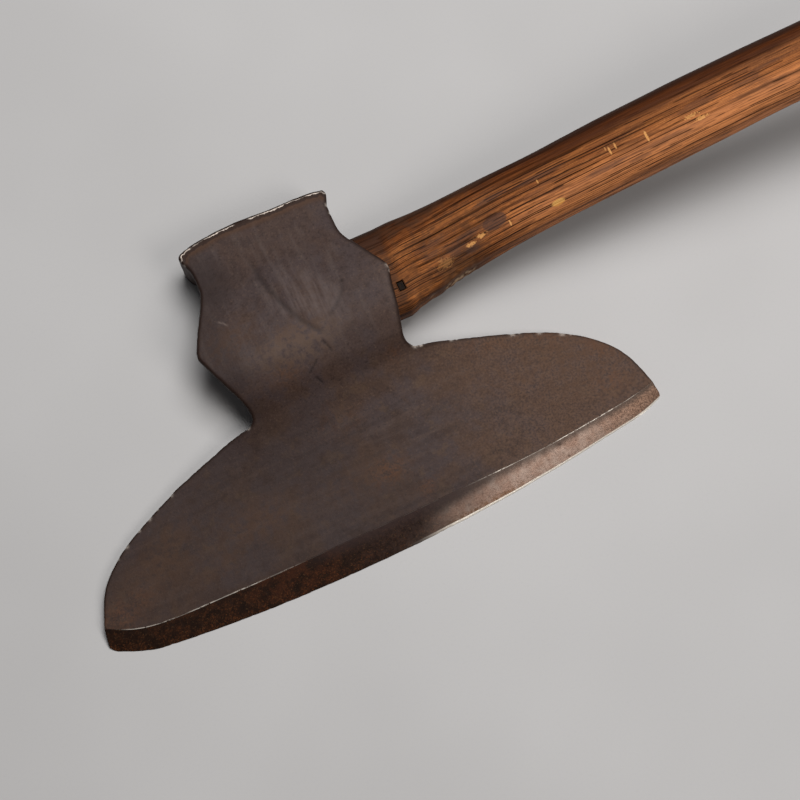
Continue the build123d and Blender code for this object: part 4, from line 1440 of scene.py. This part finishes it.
def bevel_steel():
    mat = Material("bevel_steel")
    x = mat.place.split()[0]
    across = mat.attr("across")
    big = mat.noise(26)
    mid = mat.noise(7, detail=4, rough=0.6)
    small = mat.noise(2.2, detail=4, rough=0.65)
    fine = mat.noise(0.9, rough=0.65)
    grit = mat.noise(0.95, rough=0.75)
    # 0 at the rusty -X end of the edge, 1 at the cleaner +X end
    clean = (x + big * 40.0 + across * -12.0 + mid * 14.0).ramp(22, 92)
    grains = grit.ramp(0.52, 0.62) * mid.ramp(0.34, 0.56) * across.lerp(1.0, 0.22)
    # greyer and smoother towards the middle of the edge
    plain = (x + mid * 16.0).ramp(-34, 10)
    rusty_color = mid.ramp(0.40, 0.62).mix((36, 20, 12), (50, 28, 16)).coats(
        ((22, 13, 9), small.ramp(0.46, 0.62) * 0.60),
        (small.ramp(0.40, 0.62).mix((56, 42, 37), (40, 28, 24)), plain * 0.75),
        ((112, 64, 32), grains * plain.lerp(0.58, 0.22)),
        ((120, 88, 56), fine.ramp(0.58, 0.70) * 0.30),
        ((74, 36, 21), x.ramp(-24, -50) * x.ramp(-92, -70) * mid.ramp(0.40, 0.64) * 0.26))

    # a darker strip under the ridge line, and a brown stain by the edge
    strip = (across + small * 0.16 + mid * 0.20 + x.ramp(60, 20) * 0.20).ramp(0.76, 1.12)
    stain = x.ramp(20, 34) * x.ramp(84, 60) * across.ramp(0.36, 0.04) * small.ramp(0.40, 0.56)
    clean_color = mid.ramp(0.34, 0.66).mix((168, 146, 133), (156, 126, 110)).coats(
        ((182, 154, 136), fine.ramp(0.52, 0.70) * 0.50),
        ((98, 74, 62), fine.ramp(0.48, 0.30) * 0.50),
        ((104, 76, 56), mat.noise(3.6, detail=5, rough=0.7).ramp(0.62, 0.74) * 0.40),
        (fine.ramp(0.4, 0.6).mix((94, 69, 54), (150, 117, 96)), x.ramp(96, 152) * 0.85),
        ((66, 56, 50), strip * 0.80),
        ((120, 80, 44), stain * 0.85))

    # the flat side is dull steel with brown stains and open pits
    drawn = mat.noise((30, 5, 5), detail=4, rough=0.6)
    flat_color = (drawn * 0.6 + big * 0.4).ramp(0.42, 0.58).mix((98, 85, 77), (74, 57, 47))
    flat_color = flat_color.coats(
        ((58, 42, 33), small.ramp(0.50, 0.70) * 0.34),
        ((124, 106, 94), fine.ramp(0.52, 0.70) * 0.30),
        ((146, 132, 122), across.ramp(0.30, 0.0) * 0.30),
        ((40, 27, 20), mat.attr("pit") * 0.55))

    # bright metal with a painted highlight: a hairline along the edge, and the worn ridge
    outer, worn = ridge_wear_and_glint(mat, x, lowest=0.30)
    line = across.ramp(0.965, 0.99) * small.ramp(0.36, 0.50) * (0.04 + outer * 0.85) * worn
    hair = across.ramp(0.095, 0.060) * (x + big * 20.0).ramp(12, 50)
    facing_z = mat.normal()[2]
    under = facing_z.ramp(-0.25, -0.65)
    bare_and_glint = hair.max(line) * facing_z.ramp(-0.25, 0.15)
    color = clean.mix(rusty_color, clean_color).coats(
        ((40, 27, 20), mat.attr("pit") * 0.65),
        ((40, 24, 16), mat.attr("rim") * 0.5 * (1.0 - clean)),
        # in the middle the ground face runs softly into the iron
        ((62, 48, 46), across.ramp(0.50, 1.02) * x.ramp(-60, -24) * x.ramp(66, 34) * 0.62),
        (flat_color, under * 0.9),
        # near-white painted highlight on the honed edge and the ridge line
        ((250, 240, 226), bare_and_glint))

    rough = under.lerp(clean.lerp(0.62, 0.34 + small * 0.16), 0.44 + small * 0.20)
    rough = bare_and_glint.lerp(rough + fine * 0.08, 0.34)
    marks = mat.noise((0.7, 16, 16), detail=2, rough=0.5)  # fine marks across the edge
    height = fine * 0.55 + small * 0.5 + grains * 0.25 + marks * 0.12
    return mat.finish(color, rough=rough, metal=bare_and_glint.lerp(clean.lerp(0.05, 0.70), 0.35),
                      normal=mat.bump(height, depth=0.22, strength=0.65),
                      spec=clean.lerp(0.10, 0.45))


# stains on the haft's upper face: x, y, half length, half width, softness, raggedness,
# then, for all but the first, strength
MAIN_STAIN = (114.5, -7.6, 6.8, 4.2, 0.12, 0.22)
STAINS = [
    (101.0, -6.4, 8.0, 2.2, 0.4, 1.2, 0.65), (90.0, -9.5, 7.5, 3.4, 0.5, 1.4, 0.55),
    (79.0, -1.5, 9.0, 2.6, 0.5, 1.5, 0.50), (178.0, -9.8, 12.0, 1.6, 0.4, 0.8, 0.62),
    (196.0, -13.2, 6.5, 1.1, 0.4, 0.9, 0.62), (118.0, 4.6, 9.0, 1.5, 0.3, 0.8, 0.72),
    (98.5, -14.6, 4.2, 1.9, 0.3, 1.0, 0.72), (144.0, 3.4, 13.0, 1.2, 0.4, 0.8, 0.50),
    (77.0, -6.5, 5.5, 2.2, 0.4, 1.2, 0.60)]
PITH_Y, PITH_Z = 46.0, -88.0  # centre of the annual rings, well below the stick
RING_PITCH = 1.7


def haft_wood():
    mat = Material("haft_wood")
    x, y, z = (mat.attr(name) for name in ("gx", "gy", "gz"))  # place in the straight haft
    place = mat.vector(x, y, z)

    def run(length, width, detail=3, rough=0.55):
        """Noise drawn out along the grain."""
        return mat.noise((length, width, width), detail=detail, rough=rough, at=place)

    wobble = run(120, 18, detail=2, rough=0.5)
    ragged = mat.noise(0.9, rough=0.6, at=place)

    def lines(pitch, width, length, low, high, seed):
        """Straight thin lines along the grain, one per pitch, each broken into pieces."""
        t = (y + z * 0.7 + wobble * 3.4 + x * 0.012 + seed) * (1 / pitch)
        row = t.floor()
        shift = mat.noise(1.0, detail=0, rough=0.5, at=mat.vector(row * 3.71, seed, 0.5))
        dist = abs(t.fract() - (0.2 + shift * 0.6))
        piece = mat.noise(1.0, detail=2, rough=0.5,
                          at=mat.vector(x * (1 / length), row * 5.37, seed))
        return dist.ramp(width / pitch, width / pitch * 0.35) * piece.ramp(low, high)

    def patch(cx, cy, half_l, half_w, soft, torn):
        """An ellipse on the upper face with a ragged outline."""
        u = (x - cx) * (1 / half_l)
        v = (y - cy) * (1 / half_w)
        dist = (u * u + v * v).sqrt() + (ragged - 0.5) * (torn * 2)
        return dist.ramp(1 + soft, 1 - soft) * z.ramp(0, 2)

    # annual rings cut the surface as shallow arcs
    ring_y = y - PITH_Y
    ring_z = z + -PITH_Z
    radius = (ring_y * ring_y + ring_z * ring_z).sqrt()
    pore = ((radius + wobble * 7.0) * (1 / RING_PITCH)).fract().ramp(0.40, 0.0)
    fibre = run(60, 0.70, detail=4, rough=0.65)
    fine = run(14, 0.34, rough=0.6)
    blot = run(34, 9, detail=4, rough=0.6)
    color = run(190, 5.0).ramp(0.38, 0.62).mix((194, 117, 60), (158, 92, 46)).coats(
        ((120, 68, 30), fibre.ramp(0.48, 0.60) * 0.34),
        # weathered streaks
        ((98, 62, 42), (run(58, 8.5, detail=4, rough=0.6) * 0.7
                        + fibre * 0.3).ramp(0.50, 0.60) * 0.46),
        ((84, 46, 22), pore * fibre.ramp(0.44, 0.62) * 0.26),
        ((220, 142, 72), fine.ramp(0.50, 0.68) * 0.50),
        ((96, 52, 26), fine.ramp(0.46, 0.28) * 0.45),
        ((86, 48, 28), ragged.ramp(0.55, 0.66) * 0.24),
        ((226, 150, 86), ragged.ramp(0.45, 0.34) * 0.20),
        # painted light and shade across the round haft: paler towards -Y, browner towards +Y
        ((228, 150, 98), y.ramp(1, -14) * x.ramp(104, 146) * 0.48),
        ((56, 22, 4), y.ramp(-4, 14) * x.ramp(96, 134) * blot.ramp(0.75, 0.25, 0.56, 0.78)),
        ((92, 60, 44), run(40, 4.0, detail=4, rough=0.6).ramp(0.54, 0.64) * y.ramp(9, 4)
         * 0.50))

    # long thin drying checks, stronger near the head
    near = x.ramp(230, 110)
    grain = lines(pitch=1.5, width=0.30, length=26, low=0.45, high=0.50, seed=3.3).max(
        lines(pitch=1.1, width=0.26, length=15, low=0.48, high=0.54, seed=11.9))
    check = lines(pitch=4.6, width=0.38, length=60, low=0.44, high=0.47, seed=5.1).max(
        lines(pitch=3.1, width=0.33, length=42, low=0.51, high=0.54, seed=8.7))
    check = check * (0.80 + near * 0.18)

    # painted shade: darker on the rounded +Y side and the underside, which are turned from the
    # light; also darker along the -Y edge and over the -Y half near the head, and by the eye,
    # with dirt speckled near the head
    upper = y + blot * 9.0 + x.ramp(100, 60) * 2.0 + 1.2
    shade_turned_away = mat.attr("edge") + blot * 0.4
    lower = (y + blot * 5.0).ramp(-12.5, -17.5)
    speckle = blot * 0.6 + mat.noise(5, detail=4, rough=0.6) * 0.4
    color = color.coats(
        ((66, 33, 13), grain * (0.44 + near * 0.22)),
        ((34, 17, 8), check),
        ((52, 16, 0), y.ramp(5.0, 9.0) * x.ramp(108, 138) * x.ramp(138, 158, 0.30, 0.52)),
        (fine.ramp(0.35, 0.65).mix((82, 40, 13), (126, 66, 24)),
         upper.ramp(13.2, 17.5) * 0.72),
        ((58, 28, 11), upper.ramp(17.5, 22.5) * 0.70),
        ((46, 17, 3), y.ramp(6.5, 11.5) * x.ramp(134, 162) * z.ramp(0, 7) * 0.46),
        ((50, 25, 11), shade_turned_away.ramp(0.62, 1.10) * 0.85),
        ((78, 42, 22), lower * x.ramp(120, 96) * x.ramp(66, 84) * 0.50),
        ((58, 36, 24), x.ramp(66, 80) * (x + blot * 12.0).ramp(116, 102) * y.ramp(11, 7)
         * 0.32),
        ((78, 52, 36), x.ramp(136, 100) * speckle.ramp(0.43, 0.55) * 0.52),
        ((44, 26, 16), (x + blot * 8.0).ramp(66, 59) * 0.62),
        ((76, 42, 24), mat.attr("valley") * 0.22))

    stain = patch(*MAIN_STAIN)
    for *shape, strength in STAINS:
        stain = stain.max(patch(*shape) * strength)
    color = color.coats(((72, 51, 44), stain * 0.72), ((28, 15, 8), mat.attr("crack") * 0.75))
    for cx, cy, half_l, half_w, strength in BRUISES:
        torn = 2.2 if half_l > 1.5 else 0.7
        bruise = patch(cx, cy, half_l, half_w, soft=0.2, torn=torn)
        color = color.coats(((230, 166, 98), bruise * strength))
    end_grain = abs(mat.normal()[0]).ramp(0.80, 0.97)
    color = color.coats(
        # a small pale spot
        (fine.ramp(0.35, 0.6).mix((216, 142, 68), (240, 184, 104)),
         patch(148.5, -14.3, 3.6, 1.5, soft=0.20, torn=0.25) * 0.85),
        ((132, 92, 60), mat.attr("chip") * 0.35),
        ((208, 176, 140), mat.attr("arris") * 0.9),
        (pore.mix((96, 68, 48), (52, 34, 24)), end_grain * 0.60))

    rough = 0.50 + fibre * 0.16 + mat.attr("crack") * 0.3
    height = fibre * 0.6 + fine * 0.35 + pore * -0.2 + check * -1.3
    return mat.finish(color, rough=(stain * 0.8).lerp(rough, 0.28),
                      normal=mat.bump(height, depth=0.28, strength=0.7), spec=0.10)


def wedge_wood():
    mat = Material("wedge_wood")
    fibre = mat.noise((30, 0.9, 0.9), detail=4, rough=0.65)
    blot = mat.noise(6, detail=4, rough=0.6)
    grit = mat.noise(0.8, rough=0.6)
    color = fibre.ramp(0.36, 0.64).mix((150, 110, 74), (100, 68, 44)).coats(
        ((70, 48, 34), blot.ramp(0.44, 0.66) * 0.6),
        ((48, 32, 23), grit.ramp(0.48, 0.30) * 0.5))
    return mat.finish(color, rough=0.55 + grit * 0.2, spec=0.4,
                      normal=mat.bump(fibre + grit * 0.4, depth=0.35, strength=0.7))


def rusty_iron(name, dark, brown, orange, size, shine=1.0):
    mat = Material(name)
    blot = mat.noise(5.0 * size, detail=4, rough=0.62)
    mid = mat.noise(1.9 * size, detail=4, rough=0.65)
    fine = mat.noise(0.6 * size, rough=0.6)
    cells = mat.node("TexVoronoi", {"Vector": mat.place, "Scale": 1.0 / (1.7 * size)},
                     output="Distance")
    pits = cells.ramp(0.40, 0.12)
    color = blot.ramp(0.40, 0.62).mix(dark, brown).coats(
        (orange, mid.ramp(0.50, 0.70) * 0.7),
        (dark, pits * 0.6))
    height = mid * 0.6 + fine * 0.4 + pits * -0.4
    return mat.finish(color, rough=0.50 + mid * 0.30, spec=0.4 * shine,
                      metal=mid.ramp(0.55, 0.35, 0.15, 0.6) * shine,
                      normal=mat.bump(height, depth=0.25 * size, strength=0.7))


def floor_pale():
    mat = Material("floor_pale")
    cloud = mat.noise(260, rough=0.5)
    fine = mat.noise(1.4, rough=0.6)
    color = cloud.ramp(0.3, 0.7).mix((198, 196, 195), (206, 204, 203)).coats(
        ((186, 184, 183), fine.ramp(0.5, 0.8) * 0.15))
    return mat.finish(color, rough=0.62 + fine * 0.1, spec=0.3,
                      normal=mat.bump(fine, depth=0.05, strength=0.4))


def dress(ob, material):
    ob.data.materials.clear()
    ob.data.materials.append(material)


# piece, its material, the CAD node it replaces, its material slot
PIECES = (
    (head_piece, forged_iron(), "head_body", "forged_iron"),
    (bit_piece, bevel_steel(), "steel_bit", "bit_steel"),
    (haft_piece, haft_wood(), "haft", "haft_wood"),
    (wedge_piece, wedge_wood(), "wooden_wedge", "wedge_wood"),
    (iron_piece, rusty_iron("wedge_iron_rusty", dark=(48, 38, 34), brown=(76, 52, 38),
                            orange=(122, 74, 42), size=1.0),
     "iron_cross_wedges", "wedge_iron"),
    (nail_piece, rusty_iron("nail_iron_dark", dark=(20, 15, 12), brown=(34, 24, 17),
                            orange=(62, 38, 22), size=0.5, shine=0.25),
     "cut_nail", "nail_iron"),
)
for piece, material, node, slot in PIECES:
    dress(piece, material)
    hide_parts(node)
    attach(piece, "root")

# ----------------------------------------- floor, light and camera, in metres ----
FLOOR_HALF, FLOOR_Z = 4.0, -2e-5
LIGHT_TARGET = Vector((0.03, -0.04, 0.02))

floor_mesh = bpy.data.meshes.new("floor")
floor_mesh.from_pydata([(x * FLOOR_HALF, y * FLOOR_HALF, FLOOR_Z)
                        for x, y in ((-1, -1), (1, -1), (1, 1), (-1, 1))], [], [(0, 1, 2, 3)])
floor = link("floor", floor_mesh)
dress(floor, floor_pale())

scene = bpy.context.scene
world = bpy.data.worlds.new("studio")
world.use_nodes = True
background = world.node_tree.nodes["Background"]
background.inputs["Color"].default_value = (0.80, 0.81, 0.84, 1)
background.inputs["Strength"].default_value = 0.07
scene.world = world


def soft_box(name, direction, distance, width, height, watts, tint=(1, 1, 1)):
    """A rectangular light that faces the target from the given direction."""
    light = bpy.data.lights.new(name, "AREA")
    light.shape = "RECTANGLE"
    light.size, light.size_y = width, height
    light.energy = watts
    light.color = tint
    ob = link(name, light)
    direction = Vector(direction).normalized()
    ob.location = LIGHT_TARGET + direction * distance
    ob.rotation_euler = direction.to_track_quat("Z", "Y").to_euler()


soft_box("key", direction=(0.26, 0.24, 0.93), distance=1.7, width=1.1, height=1.0, watts=23)
soft_box("front", direction=(0.38, -0.55, 0.75), distance=2.0, width=0.76, height=0.80,
         watts=9, tint=(1.0, 0.97, 0.94))

# the camera looks down; its up direction is tilted from the floor towards +Z
CAMERA_PLACE = (-0.08498, -0.31475, 0.97676)
CAMERA_BACK = Vector((-0.11606, -0.25002, 0.96126)).normalized()
UP_ON_FLOOR = Vector((0.4210, 0.9070, 0))
UP_TILT = math.radians(16)

camera_data = bpy.data.cameras.new("camera")
camera_data.lens = 85.5
camera_data.sensor_width = 36.0
camera_data.sensor_fit = "HORIZONTAL"
camera = link("camera", camera_data)
camera_up = UP_ON_FLOOR * math.cos(UP_TILT) + Vector((0, 0, 1)) * math.sin(UP_TILT)
camera_up.normalize()
camera_right = camera_up.cross(CAMERA_BACK).normalized()
pose = Matrix((camera_right, camera_up, CAMERA_BACK)).transposed().to_4x4()
pose.translation = Vector(CAMERA_PLACE)
camera.matrix_world = pose
scene.camera = camera
scene.view_settings.view_transform = "Standard"
scene.view_settings.look = "None"
